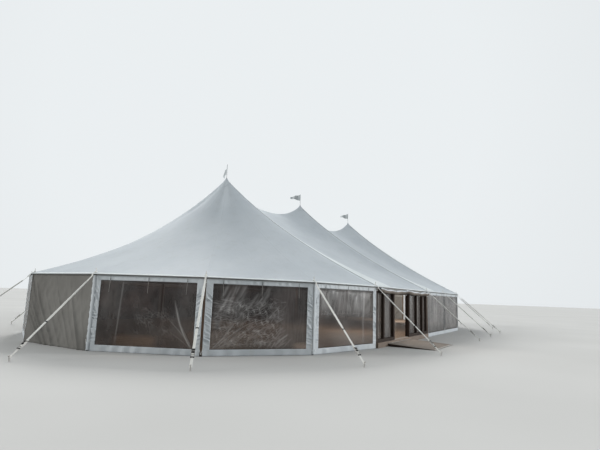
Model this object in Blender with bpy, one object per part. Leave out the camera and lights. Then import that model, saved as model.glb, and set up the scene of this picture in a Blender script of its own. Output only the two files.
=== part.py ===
"""Pole marquee: a tensile roof on three king poles, with side poles, guys, walls and a timber entrance.

Metres, +Z up. The origin is on the ground under the middle king pole, +X runs along the ridge and -Y is the
entrance side.
"""

import math

import bmesh
import bpy
from mathutils import Vector

# Plan: a straight middle of equal bays, closed at each end by half of a regular polygon.
BAY_LENGTH = 3.05
END_PANELS = 7
SIDE_BAYS = 4
KING_SPACING = 2 * BAY_LENGTH
END_X = SIDE_BAYS * BAY_LENGTH / 2
END_TURN = math.pi / END_PANELS
CORNER_RADIUS = BAY_LENGTH / (2 * math.sin(END_TURN / 2))
END_APOTHEM = CORNER_RADIUS * math.cos(END_TURN / 2)

# Clearances
SEAT_GAP = 0.0003
MOVING_GAP = 0.006

# Roof
EAVE_HEIGHT = 2.05
PEAK_HEIGHT = 6.48
ROOF_THICKNESS = 0.02
ROOF_OVERHANG = 0.09
EDGE_SLOPE = 0.38
SIDE_FULLNESS = 1.05
END_FULLNESS = 0.277
FULLNESS_FADE = math.radians(60)
RIDGE_SAG = 0.45
RIDGE_SAG_REACH = 0.18
VALLEY_SAG = 0.42
VALLEY_FLANK = 3.0
PANEL_BULGE = 0.04
RINGS = 11
RING_CROWDING = 1.5
STRIPS_PER_PANEL = 3
STRIPS_PER_SPAN = 12

# Poles
KING_RADIUS = 0.06
KING_TIP_RADIUS = 0.001
PEAK_SLOPE = 1.6
KING_TAPER = 0.17
SIDE_POLE_RADIUS = 0.035
POLE_SIDES = 12

# Wall rope and eave band, which run from pole to pole
ROPE_DEPTH = 0.016
ROPE_HEIGHT = 0.02
BAND_OFFSET = 0.075
BAND_THICKNESS = 0.008
BAND_HEIGHT = 0.033
BAND_DROP = 0.052
ROPE_DROP = 0.185
ROPE_Z = EAVE_HEIGHT - ROPE_DROP

# Walls
WALL_OFFSET = 0.04
WALL_THICKNESS = 0.012
WALL_END_GAP = 0.03
HEM_Z = 0.015
WALL_TOP_DROP = 0.065
WALL_TOP_Z = EAVE_HEIGHT - WALL_TOP_DROP
BORDER_SIDE = 0.17
BORDER_TOP = 0.135
BORDER_TOP_Z = WALL_TOP_Z - BORDER_TOP
BORDER_BOTTOM_Z = 0.17
CLEAR_THICKNESS = 0.003
CLEAR_LAP = 0.03

# Guys and stakes
GUY_SPREAD = 2.2
GUY_TOP_DROP = 0.07
GUY_TOP_Z = EAVE_HEIGHT - GUY_TOP_DROP
GUY_FOOT_Z = 0.07
STRAP = (0.05, 0.008)
SLEEVE = (0.07, 0.024)
BUCKLE = (0.076, 0.03)
RATCHET = (0.085, 0.05)
GUY_STRETCHES = (
    (0.0, 0.10, STRAP),
    (0.10, 0.60, SLEEVE),
    (0.60, 0.63, BUCKLE),
    (0.63, 0.83, STRAP),
    (0.83, 0.90, RATCHET),
    (0.90, 1.0, STRAP),
)
STAKE_RADIUS = 0.014
STAKE_HEAD_RADIUS = 0.024
STAKE_HEAD_HEIGHT = 0.02
STAKE_HEIGHT = 0.13
STAKE_LEAN = 0.028
STAKE_SIDES = 8

# Floor, entrance and ramp
FLOOR_Z = 0.17
FLOOR_INSET = 0.06
POLE_HOLE_GAP = 0.02
POLE_HOLE_SIDES = 16
PORCH_FRONT = 0.087
PORCH_END_GAP = 0.05
DOORWAY_SHIFT = 0.40
DOORWAY_X = -BAY_LENGTH - DOORWAY_SHIFT
DOORWAY_WIDTH = 1.66
FRAME_DEPTH = 0.09
FRAME_FRONT = 0.027
FRAME_END_GAP = 0.07
FRAME_STILE = 0.08
JAMB = 0.12
MULLION = 0.10
HEAD_RAIL = 0.075
BOTTOM_RAIL = 0.10
LEFT_MULLION_STEPS = (0.75,)
RIGHT_MULLION_STEPS = (1.55, 0.73)
GLASS_THICKNESS = 0.006
GLASS_LAP = 0.02
LEAF_THICKNESS = 0.045
LEAF_STILE = 0.10
LEAF_RAIL = 0.14
LEAF_FLOOR_GAP = 0.01
HINGE_SETBACK = 0.005
HINGE_OFFSET = 0.015
HINGE_RADIUS = 0.0065
HINGE_LENGTH = 0.05
HINGE_PLATE = 0.03
HINGE_SIDES = 12
HINGE_HEIGHTS = (0.25, 1.35)
CURTAIN_RADIUS = 0.075
CURTAIN_END_GAP = 0.10
CURTAIN_MID_GAP = 0.03
RAMP_SHIFT = 0.45
RAMP_X = DOORWAY_X - RAMP_SHIFT
RAMP_WIDTH = 2.44
RAMP_LENGTH = 1.6
RAMP_HIGH = 0.10
RAMP_LOW = 0.02

# Pennants
ROD_RADIUS = 0.009
ROD_LENGTH = 0.65
PENNANT_HOIST = 0.34
PENNANT_THICKNESS = 0.004
PENNANT_TIP = 0.02
ROD_SIDES = 8
# Each pennant's heading in degrees, its reach out from the rod, and how far its end hangs down
PENNANTS = ((58, 0.42, 0.30), (121.7, 0.55, 0.03), (126, 0.50, 0.02))


def clear_scene():
    for obj in list(bpy.data.objects):
        bpy.data.objects.remove(obj, do_unlink=True)


def material(name, color, roughness, metallic=0.0, alpha=1.0):
    found = bpy.data.materials.get(name)
    if found:
        return found
    made = bpy.data.materials.new(name)
    made.use_nodes = True
    shader = made.node_tree.nodes["Principled BSDF"]
    shader.inputs["Base Color"].default_value = (*color, 1.0)
    shader.inputs["Roughness"].default_value = roughness
    shader.inputs["Metallic"].default_value = metallic
    shader.inputs["Alpha"].default_value = alpha
    return made


def roof_cloth():
    return material("roof_cloth", (0.72, 0.75, 0.78), 0.45)


def wall_cloth():
    return material("wall_cloth", (0.55, 0.57, 0.58), 0.6)


def clear_sheet():
    return material("clear_sheet", (0.6, 0.62, 0.62), 0.1, alpha=0.35)


def pole_timber():
    return material("pole_timber", (0.22, 0.13, 0.07), 0.6)


def door_timber():
    return material("door_timber", (0.06, 0.04, 0.03), 0.5)


def floor_timber():
    return material("floor_timber", (0.28, 0.2, 0.14), 0.7)


def webbing():
    return material("webbing", (0.75, 0.75, 0.74), 0.7)


def object_from(name, points, faces, finish, location=(0, 0, 0), turn=0.0, helper=False):
    """A mesh object with its faces turned outwards. A helper is an operand, left out of the part."""
    mesh = bpy.data.meshes.new(name)
    bm = bmesh.new()
    corners = [bm.verts.new(point) for point in points]
    for face in faces:
        bm.faces.new([corners[index] for index in face])
    bmesh.ops.recalc_face_normals(bm, faces=bm.faces)
    bm.to_mesh(mesh)
    bm.free()
    mesh.materials.append(finish)
    obj = bpy.data.objects.new(name, mesh)
    bpy.context.scene.collection.objects.link(obj)
    obj.location = location
    obj.rotation_euler = (0, 0, turn)
    if helper:
        obj.hide_render = True
        obj.display_type = "WIRE"
    return obj


def block(name, low, high, finish, **place):
    """A box between two opposite corners."""
    points = [(x, y, z) for x in (low[0], high[0]) for y in (low[1], high[1]) for z in (low[2], high[2])]
    faces = [(0, 1, 3, 2), (4, 6, 7, 5), (0, 4, 5, 1), (2, 3, 7, 6), (0, 2, 6, 4), (1, 5, 7, 3)]
    return object_from(name, points, faces, finish, **place)


def prism(name, outline, low, high, finish, **place):
    """A flat outline raised from one height to another."""
    count = len(outline)
    points = [(x, y, low) for x, y in outline] + [(x, y, high) for x, y in outline]
    sides = [(i, (i + 1) % count, count + (i + 1) % count, count + i) for i in range(count)]
    faces = [tuple(range(count)), tuple(range(count, 2 * count)), *sides]
    return object_from(name, points, faces, finish, **place)


def loft(name, rings, finish, **place):
    """A closed body through rings of as many points each."""
    count = len(rings[0])
    points = [point for ring in rings for point in ring]
    faces = [tuple(range(count)), tuple(range(len(points) - count, len(points)))]
    for row in range(len(rings) - 1):
        for i in range(count):
            after = (i + 1) % count
            here = row * count
            faces.append((here + i, here + after, here + count + after, here + count + i))
    return object_from(name, points, faces, finish, **place)


def ring_at(x, y, z, radius, sides):
    angles = [2 * math.pi * i / sides for i in range(sides)]
    return [(x + radius * math.cos(a), y + radius * math.sin(a), z) for a in angles]


def combine(obj, others, operation):
    """Join or cut an object with helper objects, kept in a collection of their own."""
    group = bpy.data.collections.new(obj.name + "_" + operation.lower())
    bpy.context.scene.collection.children.link(group)
    for other in others:
        bpy.context.scene.collection.objects.unlink(other)
        group.objects.link(other)
    group.hide_render = True
    step = obj.modifiers.new(operation.lower(), "BOOLEAN")
    step.operation = operation
    step.operand_type = "COLLECTION"
    step.collection = group
    step.solver = "EXACT"
    return obj


def plan_corners():
    """The side poles' places, clockwise from above, starting where the entrance side meets the near end."""
    corners = []
    for side in (-1, 1):
        for i in range(END_PANELS + 1):
            angle = i * END_TURN
            across = math.cos(angle) * CORNER_RADIUS
            along = END_X + math.sin(angle) * CORNER_RADIUS
            corners.append((side * along, side * across))
        for i in range(1, SIDE_BAYS):
            corners.append((side * (END_X - i * BAY_LENGTH), -side * CORNER_RADIUS))
    return [Vector(corner) for corner in corners]


CORNERS = plan_corners()
COUNT = len(CORNERS)
NEAR_END = tuple(range(0, END_PANELS + 1))
BACK = tuple(range(END_PANELS, END_PANELS + SIDE_BAYS + 1))
FAR_END = tuple(range(END_PANELS + SIDE_BAYS, 2 * END_PANELS + SIDE_BAYS + 1))
FRONT = tuple(range(2 * END_PANELS + SIDE_BAYS, COUNT + 1))
DOOR_BAYS = (COUNT - 2, COUNT - 1)
DOOR_CORNER = COUNT - 1
PLAIN_BAYS = (END_PANELS // 2, END_PANELS + SIDE_BAYS + END_PANELS // 2)


def corner(index):
    return CORNERS[index % COUNT]


def heading(bay):
    step = corner(bay + 1) - corner(bay)
    return math.atan2(step.y, step.x)


def outward(bay):
    turn = heading(bay)
    return Vector((-math.sin(turn), math.cos(turn)))


def offset_corner(index, distance):
    """A corner moved outwards so that both walls beside it move by the distance."""
    before = outward(index - 1)
    after = outward(index)
    return corner(index) + (before + after) * (distance / (1 + before.dot(after)))


def offset_path(indices, distance, trim=0.0):
    """The wall line between two corners, moved outwards and cut short at both ends."""
    path = [offset_corner(index, distance) for index in indices]
    first = corner(indices[0]) + outward(indices[0]) * distance
    last = corner(indices[-1]) + outward(indices[-1] - 1) * distance
    forward = (corner(indices[0] + 1) - corner(indices[0])).normalized()
    backward = (corner(indices[-1] - 1) - corner(indices[-1])).normalized()
    path[0] = first + forward * trim
    path[-1] = last + backward * trim
    return path


def strip(name, indices, inner, outer, low, high, trim, finish, **place):
    """A band of fabric or rope that follows the wall line."""
    inside = offset_path(indices, inner, trim)
    outside = offset_path(indices, outer, trim)
    outline = [(p.x, p.y) for p in inside] + [(p.x, p.y) for p in reversed(outside)]
    return prism(name, outline, low, high, finish, **place)


# Roof


def rise(share, fullness):
    """The roof's height as a share of the peak's, at a share of the way from king pole to eave."""
    return math.log((1 + fullness) / (share + fullness)) / math.log((1 + fullness) / fullness)


def roof_z(x, y):
    along = abs(x) - END_X
    climb = PEAK_HEIGHT - EAVE_HEIGHT
    if along > 0:
        angle = math.atan2(along, abs(y))
        phase = (angle / END_TURN) % 1.0
        reach = math.hypot(along, y) * math.cos((phase - 0.5) * END_TURN)
        share = reach / END_APOTHEM
        fade = math.cos(min(angle / FULLNESS_FADE, 1.0) * math.pi / 2) ** 2
        fullness = END_FULLNESS + (SIDE_FULLNESS - END_FULLNESS) * fade
        sag = -PANEL_BULGE * (4 * phase * (1 - phase)) * (4 * share * (1 - share))
        run = END_APOTHEM
    else:
        share = abs(y) / CORNER_RADIUS
        fullness = SIDE_FULLNESS
        span = (x - END_X) % KING_SPACING / KING_SPACING
        off = abs(2 * span - 1)
        ridge = (1 - off**2) * RIDGE_SAG * math.exp(-share / RIDGE_SAG_REACH) * (1 - share)
        sag = ridge + (1 - off**VALLEY_FLANK) * VALLEY_SAG * (1 - share**2)
        run = CORNER_RADIUS
    if share >= 1:
        return EAVE_HEIGHT - EDGE_SLOPE * (share - 1) * run
    return EAVE_HEIGHT + climb * rise(share, fullness) - sag


def ring_shares():
    """Ring positions from the king pole to the eave, closer together near the pole."""
    return [(i / RINGS) ** RING_CROWDING for i in range(RINGS + 1)]


def sheet_solid(name, rows, finish):
    """A closed shell under a grid of plan points, of one vertical thickness. Rows may share a point."""
    top = {}
    points = []
    for row in rows:
        for x, y in row:
            key = (round(x, 5), round(y, 5))
            if key not in top:
                top[key] = len(points)
                points.append((x, y, roof_z(x, y)))
    size = len(points)
    points += [(x, y, z - ROOF_THICKNESS) for x, y, z in points]
    faces = []
    edges = {}
    for row, following in zip(rows, rows[1:]):
        for i in range(len(row) - 1):
            ring = [row[i], row[i + 1], following[i + 1], following[i]]
            keys = [top[(round(x, 5), round(y, 5))] for x, y in ring]
            face = [key for n, key in enumerate(keys) if key != keys[n - 1]]
            faces.append(tuple(face))
            faces.append(tuple(key + size for key in reversed(face)))
            for a, b in zip(face, face[1:] + face[:1]):
                edges[(a, b)] = edges.get((a, b), 0) + 1
    rim = [(a, b) for a, b in edges if (b, a) not in edges]
    faces += [(b, a, a + size, b + size) for a, b in rim]
    made = object_from(name, points, faces, finish)
    triangulate = made.modifiers.new("triangles", "TRIANGULATE")
    triangulate.quad_method = "FIXED"
    return made


def make_end_roof(name, side):
    edge = 1 + ROOF_OVERHANG / END_APOTHEM
    rows = []
    for i in range(END_PANELS * STRIPS_PER_PANEL + 1):
        angle = i * END_TURN / STRIPS_PER_PANEL
        phase = (angle / END_TURN) % 1.0
        radius = END_APOTHEM / math.cos((phase - 0.5) * END_TURN)
        row = []
        for share in [*ring_shares(), edge]:
            along = END_X + SEAT_GAP / 2 + math.sin(angle) * radius * share
            row.append((side * along, side * -math.cos(angle) * radius * share))
        rows.append(row)
    return sheet_solid(name, rows, roof_cloth())


def make_middle_roof(name, start):
    edge = 1 + ROOF_OVERHANG / CORNER_RADIUS
    half = [*ring_shares(), edge]
    across = [-share for share in reversed(half)] + half[1:]
    rows = []
    for i in range(STRIPS_PER_SPAN + 1):
        x = start + SEAT_GAP / 2 + (KING_SPACING - SEAT_GAP) * i / STRIPS_PER_SPAN
        rows.append([(x, share * CORNER_RADIUS) for share in across])
    return sheet_solid(name, rows, roof_cloth())


def make_roof():
    make_end_roof("roof_near_end", -1)
    make_middle_roof("roof_middle_near", -KING_SPACING)
    make_middle_roof("roof_middle_far", 0.0)
    make_end_roof("roof_far_end", 1)


# Poles, ropes and guys


def make_king_poles():
    top = PEAK_HEIGHT - ROOF_THICKNESS - SEAT_GAP - PEAK_SLOPE * KING_TIP_RADIUS
    for number, x in enumerate((-KING_SPACING, 0.0, KING_SPACING), 1):
        rings = [
            ring_at(0, 0, 0, KING_RADIUS, POLE_SIDES),
            ring_at(0, 0, top - KING_TAPER, KING_RADIUS, POLE_SIDES),
            ring_at(0, 0, top, KING_TIP_RADIUS, POLE_SIDES),
        ]
        loft(f"king_pole_{number}", rings, pole_timber(), location=(x, 0, 0))


def make_side_poles(name, indices, posts):
    inner = WALL_OFFSET - SEAT_GAP - ROPE_DEPTH
    outer = WALL_OFFSET - SEAT_GAP
    trim = trim_of(posts, indices)
    rope = strip(name, indices, inner, outer, ROPE_Z, ROPE_Z + ROPE_HEIGHT, trim, pole_timber())
    top = EAVE_HEIGHT - ROOF_THICKNESS - EDGE_SLOPE * SIDE_POLE_RADIUS - SEAT_GAP
    poles = []
    for index in posts:
        place = corner(index)
        rings = [ring_at(0, 0, z, SIDE_POLE_RADIUS, POLE_SIDES) for z in (0, top)]
        where = {"location": (place.x, place.y, 0), "helper": True}
        poles.append(loft(f"{name}_{index}", rings, pole_timber(), **where))
    return combine(rope, poles, "UNION")


def trim_of(posts, indices):
    """A rope that ends at its own pole reaches its middle, and any other stops clear of the pole."""
    return 0.0 if posts[0] == indices[0] else SIDE_POLE_RADIUS + SEAT_GAP


def guy_rings():
    """Width and depth of the strap, sleeve, buckle and ratchet, by share of the guy's length."""
    return [(share, size) for low, high, size in GUY_STRETCHES for share in (low, high)]


def make_guys(name, indices, posts):
    low = EAVE_HEIGHT - BAND_DROP - BAND_HEIGHT
    trim = 0.0 if posts[0] == indices[0] else STRAP[0]
    outer = BAND_OFFSET + BAND_THICKNESS
    band = strip(name, indices, BAND_OFFSET, outer, low, low + BAND_HEIGHT, trim, webbing())
    parts = []
    for index in posts:
        place = corner(index)
        away = (outward(index - 1) + outward(index)).normalized()
        turn = math.atan2(away.y, away.x)
        start = Vector((BAND_OFFSET + BAND_THICKNESS / 2, 0, GUY_TOP_Z))
        end = Vector((GUY_SPREAD, 0, GUY_FOOT_Z))
        along = (end - start).normalized()
        up = along.cross(Vector((0, 1, 0)))
        rings = []
        for share, (width, depth) in guy_rings():
            centre = start.lerp(end, share)
            signs = ((-1, -1), (1, -1), (1, 1), (-1, 1))
            ring = [centre + Vector((0, a * width / 2, 0)) + up * (b * depth / 2) for a, b in signs]
            rings.append(ring)
        where = {"location": (place.x, place.y, 0), "turn": turn, "helper": True}
        parts.append(loft(f"{name}_strap_{index}", rings, webbing(), **where))
        tall = STAKE_HEIGHT - STAKE_HEAD_HEIGHT
        lean = STAKE_LEAN / STAKE_HEIGHT
        foot = GUY_SPREAD - GUY_FOOT_Z * lean
        shaft = ((0, STAKE_RADIUS), (tall, STAKE_RADIUS))
        head = ((tall, STAKE_HEAD_RADIUS), (STAKE_HEIGHT, STAKE_HEAD_RADIUS))
        rings = [ring_at(foot + z * lean, 0, z, radius, STAKE_SIDES) for z, radius in shaft + head]
        parts.append(loft(f"{name}_stake_{index}", rings, webbing(), **where))
    return combine(band, parts, "UNION")


def make_supports():
    front_posts = FRONT[1:3]
    back_posts = BACK[1:-1]
    for side, indices, posts in (
        ("near_end", NEAR_END, NEAR_END),
        ("far_end", FAR_END, FAR_END),
        ("front", FRONT, front_posts),
        ("back", BACK, back_posts),
    ):
        make_side_poles(f"side_poles_{side}", indices, posts)
        make_guys(f"guys_{side}", indices, posts)


# Walls


def wall_names():
    """Each bay's node name, leaving out the two that the entrance fills."""
    names = {}
    for label, indices in (("near_end", NEAR_END), ("back", BACK), ("far_end", FAR_END), ("front", FRONT)):
        number = 0
        for bay in indices[:-1]:
            if bay in DOOR_BAYS:
                continue
            if bay in PLAIN_BAYS:
                names[bay] = f"{label}_plain_wall"
                continue
            number += 1
            names[bay] = f"{label}_window_wall_{number}"
    return names


def make_wall(name, bay):
    low, high = WALL_END_GAP, BAY_LENGTH - WALL_END_GAP
    inner, outer = WALL_OFFSET, WALL_OFFSET + WALL_THICKNESS
    place = corner(bay)
    where = {"location": (place.x, place.y, 0), "turn": heading(bay)}
    if bay in PLAIN_BAYS:
        return block(name, (low, inner, HEM_Z), (high, outer, WALL_TOP_Z), wall_cloth(), **where)
    side = [(low, HEM_Z), (high, HEM_Z), (high, WALL_TOP_Z), (low, WALL_TOP_Z)]
    hole_low, hole_high = low + BORDER_SIDE, high - BORDER_SIDE
    hole = [
        (hole_low, BORDER_BOTTOM_Z),
        (hole_high, BORDER_BOTTOM_Z),
        (hole_high, BORDER_TOP_Z),
        (hole_low, BORDER_TOP_Z),
    ]
    points = [(x, depth, z) for depth in (inner, outer) for x, z in side + hole]
    faces = []
    for i in range(4):
        after = (i + 1) % 4
        faces.append((i, after, 4 + after, 4 + i))
        faces.append((8 + i, 8 + after, 12 + after, 12 + i))
        faces.append((i, after, 8 + after, 8 + i))
        faces.append((4 + i, 4 + after, 12 + after, 12 + i))
    return object_from(name, points, faces, wall_cloth(), **where)


def make_clear(name, indices):
    outer = WALL_OFFSET - SEAT_GAP
    trim = WALL_END_GAP + BORDER_SIDE - CLEAR_LAP
    low = BORDER_BOTTOM_Z - CLEAR_LAP
    high = min(BORDER_TOP_Z + CLEAR_LAP, ROPE_Z - SEAT_GAP)
    return strip(name, indices, outer - CLEAR_THICKNESS, outer, low, high, trim, clear_sheet())


def make_walls():
    for bay, name in wall_names().items():
        make_wall(name, bay)
    near_plain, far_plain = PLAIN_BAYS
    make_clear("near_end_front_clear", NEAR_END[: near_plain + 1])
    make_clear("near_end_back_clear", NEAR_END[near_plain + 1 :])
    make_clear("back_clear", BACK)
    make_clear("far_end_back_clear", range(FAR_END[0], far_plain + 1))
    make_clear("far_end_front_clear", range(far_plain + 1, FAR_END[-1] + 1))
    make_clear("front_clear", FRONT[:3])


# Floor, entrance and ramp


def make_floor():
    outline = []
    for index in range(COUNT):
        if index == DOOR_CORNER:
            inside = -CORNER_RADIUS + FLOOR_INSET
            front = -CORNER_RADIUS - PORCH_FRONT
            right = corner(DOOR_CORNER - 1).x - PORCH_END_GAP
            left = corner(DOOR_CORNER + 1).x + PORCH_END_GAP
            outline += [(right, inside), (right, front), (left, front), (left, inside)]
            continue
        place = offset_corner(index, -FLOOR_INSET)
        outline.append((place.x, place.y))
    floor = prism("floor_deck", outline, 0, FLOOR_Z, floor_timber())
    cutters = []
    for number, x in enumerate((-KING_SPACING, 0.0, KING_SPACING), 1):
        radius = KING_RADIUS + POLE_HOLE_GAP
        rings = [ring_at(x, 0, z, radius, POLE_HOLE_SIDES) for z in (-FLOOR_Z, 2 * FLOOR_Z)]
        cutters.append(loft(f"pole_hole_{number}", rings, floor_timber(), helper=True))
    return combine(floor, cutters, "DIFFERENCE")


FRAME_FACE_Y = -CORNER_RADIUS - FRAME_FRONT
FRAME_BACK_Y = FRAME_FACE_Y + FRAME_DEPTH
FRAME_BASE_Z = FLOOR_Z + SEAT_GAP
FRAME_TOP_Z = ROPE_Z - SEAT_GAP
HEAD_Z = FRAME_TOP_Z - HEAD_RAIL
HINGE_Y = FRAME_BACK_Y + HINGE_OFFSET
LEFT_HINGE_X = DOORWAY_X - DOORWAY_WIDTH / 2
RIGHT_HINGE_X = DOORWAY_X + DOORWAY_WIDTH / 2
LEAF_BASE_Z = FLOOR_Z + LEAF_FLOOR_GAP
LEAF_TOP_Z = HEAD_Z - LEAF_FLOOR_GAP


def frame_lights():
    """The x range of each fixed light beside the doorway, left group and right group."""
    left = corner(DOOR_CORNER + 1).x
    right = corner(DOOR_CORNER - 1).x
    end = FRAME_END_GAP + FRAME_STILE
    groups = []
    for low, high, middles in (
        (left + end, LEFT_HINGE_X - JAMB, [left + step for step in LEFT_MULLION_STEPS]),
        (RIGHT_HINGE_X + JAMB, right - end, [right - step for step in RIGHT_MULLION_STEPS]),
    ):
        starts = [low] + [middle + MULLION / 2 for middle in middles]
        ends = [middle - MULLION / 2 for middle in middles] + [high]
        groups.append(list(zip(starts, ends)))
    return groups


def hinge_knuckle(name, x, base, plate_low, plate_high, reach, finish):
    """A knuckle on the hinge line and the plate that fixes it, as two helper solids."""
    rings = [ring_at(x, HINGE_Y, z, HINGE_RADIUS, HINGE_SIDES) for z in (base, base + HINGE_LENGTH)]
    low = (min(x, x + reach), plate_low, base)
    high = (max(x, x + reach), plate_high, base + HINGE_LENGTH)
    return [loft(name, rings, finish, helper=True), block(name + "_plate", low, high, finish, helper=True)]


def make_door_frame():
    left = corner(DOOR_CORNER + 1).x + FRAME_END_GAP
    right = corner(DOOR_CORNER - 1).x - FRAME_END_GAP
    low = (left, FRAME_FACE_Y, FRAME_BASE_Z)
    frame = block("door_frame", low, (right, FRAME_BACK_Y, FRAME_TOP_Z), door_timber())
    past = FRAME_DEPTH
    cutters = []
    for number, (start, end) in enumerate([light for group in frame_lights() for light in group], 1):
        low = (start, FRAME_FACE_Y - past, FRAME_BASE_Z + BOTTOM_RAIL)
        high = (end, FRAME_BACK_Y + past, HEAD_Z)
        cutters.append(block(f"light_{number}", low, high, door_timber(), helper=True))
    low = (LEFT_HINGE_X, FRAME_FACE_Y - past, FRAME_BASE_Z - past)
    high = (RIGHT_HINGE_X, FRAME_BACK_Y + past, HEAD_Z)
    cutters.append(block("doorway", low, high, door_timber(), helper=True))
    combine(frame, cutters, "DIFFERENCE")
    knuckles = []
    for side, x in ((-1, LEFT_HINGE_X), (1, RIGHT_HINGE_X)):
        for number, height in enumerate(HINGE_HEIGHTS, 1):
            base = LEAF_BASE_Z + height - HINGE_LENGTH - SEAT_GAP
            sunk = FRAME_BACK_Y - HINGE_SETBACK
            reach = side * HINGE_PLATE
            name = f"frame_hinge_{side}_{number}"
            knuckles += hinge_knuckle(name, x, base, sunk, HINGE_Y + SEAT_GAP, reach, door_timber())
    return combine(frame, knuckles, "UNION")


def make_leaf(label, hinge_x, side):
    """A glazed leaf standing open against the inside of the frame, with its origin on its hinge line."""
    width = DOORWAY_WIDTH / 2 - 2 * MOVING_GAP
    near = side * MOVING_GAP
    far = side * (MOVING_GAP + width)
    low = (min(near, far), HINGE_SETBACK, LEAF_BASE_Z)
    high = (max(near, far), HINGE_SETBACK + LEAF_THICKNESS, LEAF_TOP_Z)
    where = {"location": (hinge_x, HINGE_Y, 0)}
    leaf = block(f"door_leaf_{label}", low, high, door_timber(), **where)
    hole_low = (low[0] + LEAF_STILE, 0, low[2] + LEAF_RAIL)
    hole_high = (high[0] - LEAF_STILE, HINGE_SETBACK + 2 * LEAF_THICKNESS, high[2] - LEAF_RAIL)
    hole = block(f"leaf_light_{label}", hole_low, hole_high, door_timber(), helper=True, **where)
    combine(leaf, [hole], "DIFFERENCE")
    knuckles = []
    for number, height in enumerate(HINGE_HEIGHTS, 1):
        base = LEAF_BASE_Z + height
        name = f"leaf_hinge_{label}_{number}"
        low_y = HINGE_Y + HINGE_SETBACK / 2
        high_y = HINGE_Y + HINGE_SETBACK + SEAT_GAP
        knuckles += hinge_knuckle(name, hinge_x, base, low_y, high_y, side * HINGE_PLATE, door_timber())
    combine(leaf, knuckles, "UNION")
    middle = HINGE_SETBACK + (LEAF_THICKNESS - GLASS_THICKNESS) / 2
    pane_low = (hole_low[0] + SEAT_GAP, middle, hole_low[2] + SEAT_GAP)
    pane_high = (hole_high[0] - SEAT_GAP, middle + GLASS_THICKNESS, hole_high[2] - SEAT_GAP)
    block(f"door_glass_{label}", pane_low, pane_high, clear_sheet(), **where)


def make_side_glass():
    for label, group in zip(("left", "right"), frame_lights()):
        low = (group[0][0] - GLASS_LAP, FRAME_BACK_Y + SEAT_GAP, FRAME_BASE_Z + BOTTOM_RAIL - GLASS_LAP)
        high = (group[-1][1] + GLASS_LAP, FRAME_BACK_Y + SEAT_GAP + GLASS_THICKNESS, HEAD_Z + GLASS_LAP)
        block(f"side_light_{label}", low, high, clear_sheet())


def make_curtains():
    y = -CORNER_RADIUS - WALL_OFFSET - CURTAIN_RADIUS
    z = ROPE_Z + ROPE_HEIGHT / 2
    left = corner(DOOR_CORNER + 1).x
    middle = corner(DOOR_CORNER).x
    right = corner(DOOR_CORNER - 1).x
    spans = (
        (left + CURTAIN_END_GAP, middle - CURTAIN_MID_GAP),
        (middle + CURTAIN_MID_GAP, right - CURTAIN_END_GAP),
    )
    section = [(y + a, z + b) for a, b, _ in ring_at(0, 0, 0, CURTAIN_RADIUS, POLE_SIDES)]
    for number, ends in enumerate(spans, 1):
        rings = [[(x, a, b) for a, b in section] for x in ends]
        loft(f"rolled_curtain_{number}", rings, wall_cloth())


def make_ramp():
    back = -CORNER_RADIUS - PORCH_FRONT - SEAT_GAP
    front = back - RAMP_LENGTH
    left = RAMP_X - RAMP_WIDTH / 2
    right = RAMP_X + RAMP_WIDTH / 2
    profile = [(back, 0), (back, RAMP_HIGH), (front, RAMP_LOW), (front, 0)]
    rings = [[(x, y, z) for y, z in profile] for x in (left, right)]
    loft("entrance_ramp", rings, floor_timber())


def make_entrance():
    make_door_frame()
    make_side_glass()
    make_leaf("left", LEFT_HINGE_X, -1)
    make_leaf("right", RIGHT_HINGE_X, 1)
    make_curtains()
    make_ramp()


# Pennants


def make_pennants():
    base = PEAK_HEIGHT + SEAT_GAP
    for number, (heading_degrees, reach, hang) in enumerate(PENNANTS, 1):
        x = (number - 2) * KING_SPACING
        where = {"location": (x, 0, 0), "turn": math.radians(heading_degrees)}
        top = base + ROD_LENGTH
        rings = [ring_at(0, 0, z, ROD_RADIUS, ROD_SIDES) for z in (base, top)]
        rod = loft(f"pennant_{number}", rings, webbing(), **where)
        half = PENNANT_THICKNESS / 2
        low = top - PENNANT_HOIST
        end = top - PENNANT_HOIST / 2 - hang
        outline = [(0, low), (reach, end - PENNANT_TIP), (reach, end + PENNANT_TIP), (0, top - ROD_RADIUS)]
        rings = [[(a, side * half, z) for a, z in outline] for side in (-1, 1)]
        flag = loft(f"pennant_{number}_cloth", rings, wall_cloth(), helper=True, **where)
        combine(rod, [flag], "UNION")


clear_scene()
make_roof()
make_king_poles()
make_supports()
make_walls()
make_floor()
make_entrance()
make_pennants()
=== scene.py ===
"""Looks of the pole marquee: coated cloth, clear windows, webbing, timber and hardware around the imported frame."""

import math
import random

import bpy
import numpy as np
from mathutils import Matrix, Vector


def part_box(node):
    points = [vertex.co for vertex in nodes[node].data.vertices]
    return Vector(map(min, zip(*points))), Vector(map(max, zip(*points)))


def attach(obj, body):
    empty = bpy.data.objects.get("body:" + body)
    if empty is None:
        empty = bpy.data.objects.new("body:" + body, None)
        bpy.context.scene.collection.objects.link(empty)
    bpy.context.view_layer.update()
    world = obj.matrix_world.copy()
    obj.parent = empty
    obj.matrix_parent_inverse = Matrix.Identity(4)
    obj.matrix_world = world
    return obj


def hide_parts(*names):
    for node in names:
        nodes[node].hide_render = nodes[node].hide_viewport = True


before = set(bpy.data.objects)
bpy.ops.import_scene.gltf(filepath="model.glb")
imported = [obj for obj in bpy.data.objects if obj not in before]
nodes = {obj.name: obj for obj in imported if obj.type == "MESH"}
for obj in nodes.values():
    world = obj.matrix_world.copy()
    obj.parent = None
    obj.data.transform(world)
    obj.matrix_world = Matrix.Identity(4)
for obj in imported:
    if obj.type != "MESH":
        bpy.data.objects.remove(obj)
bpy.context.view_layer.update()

TENT = "tent"
TAU = 2 * math.pi

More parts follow.
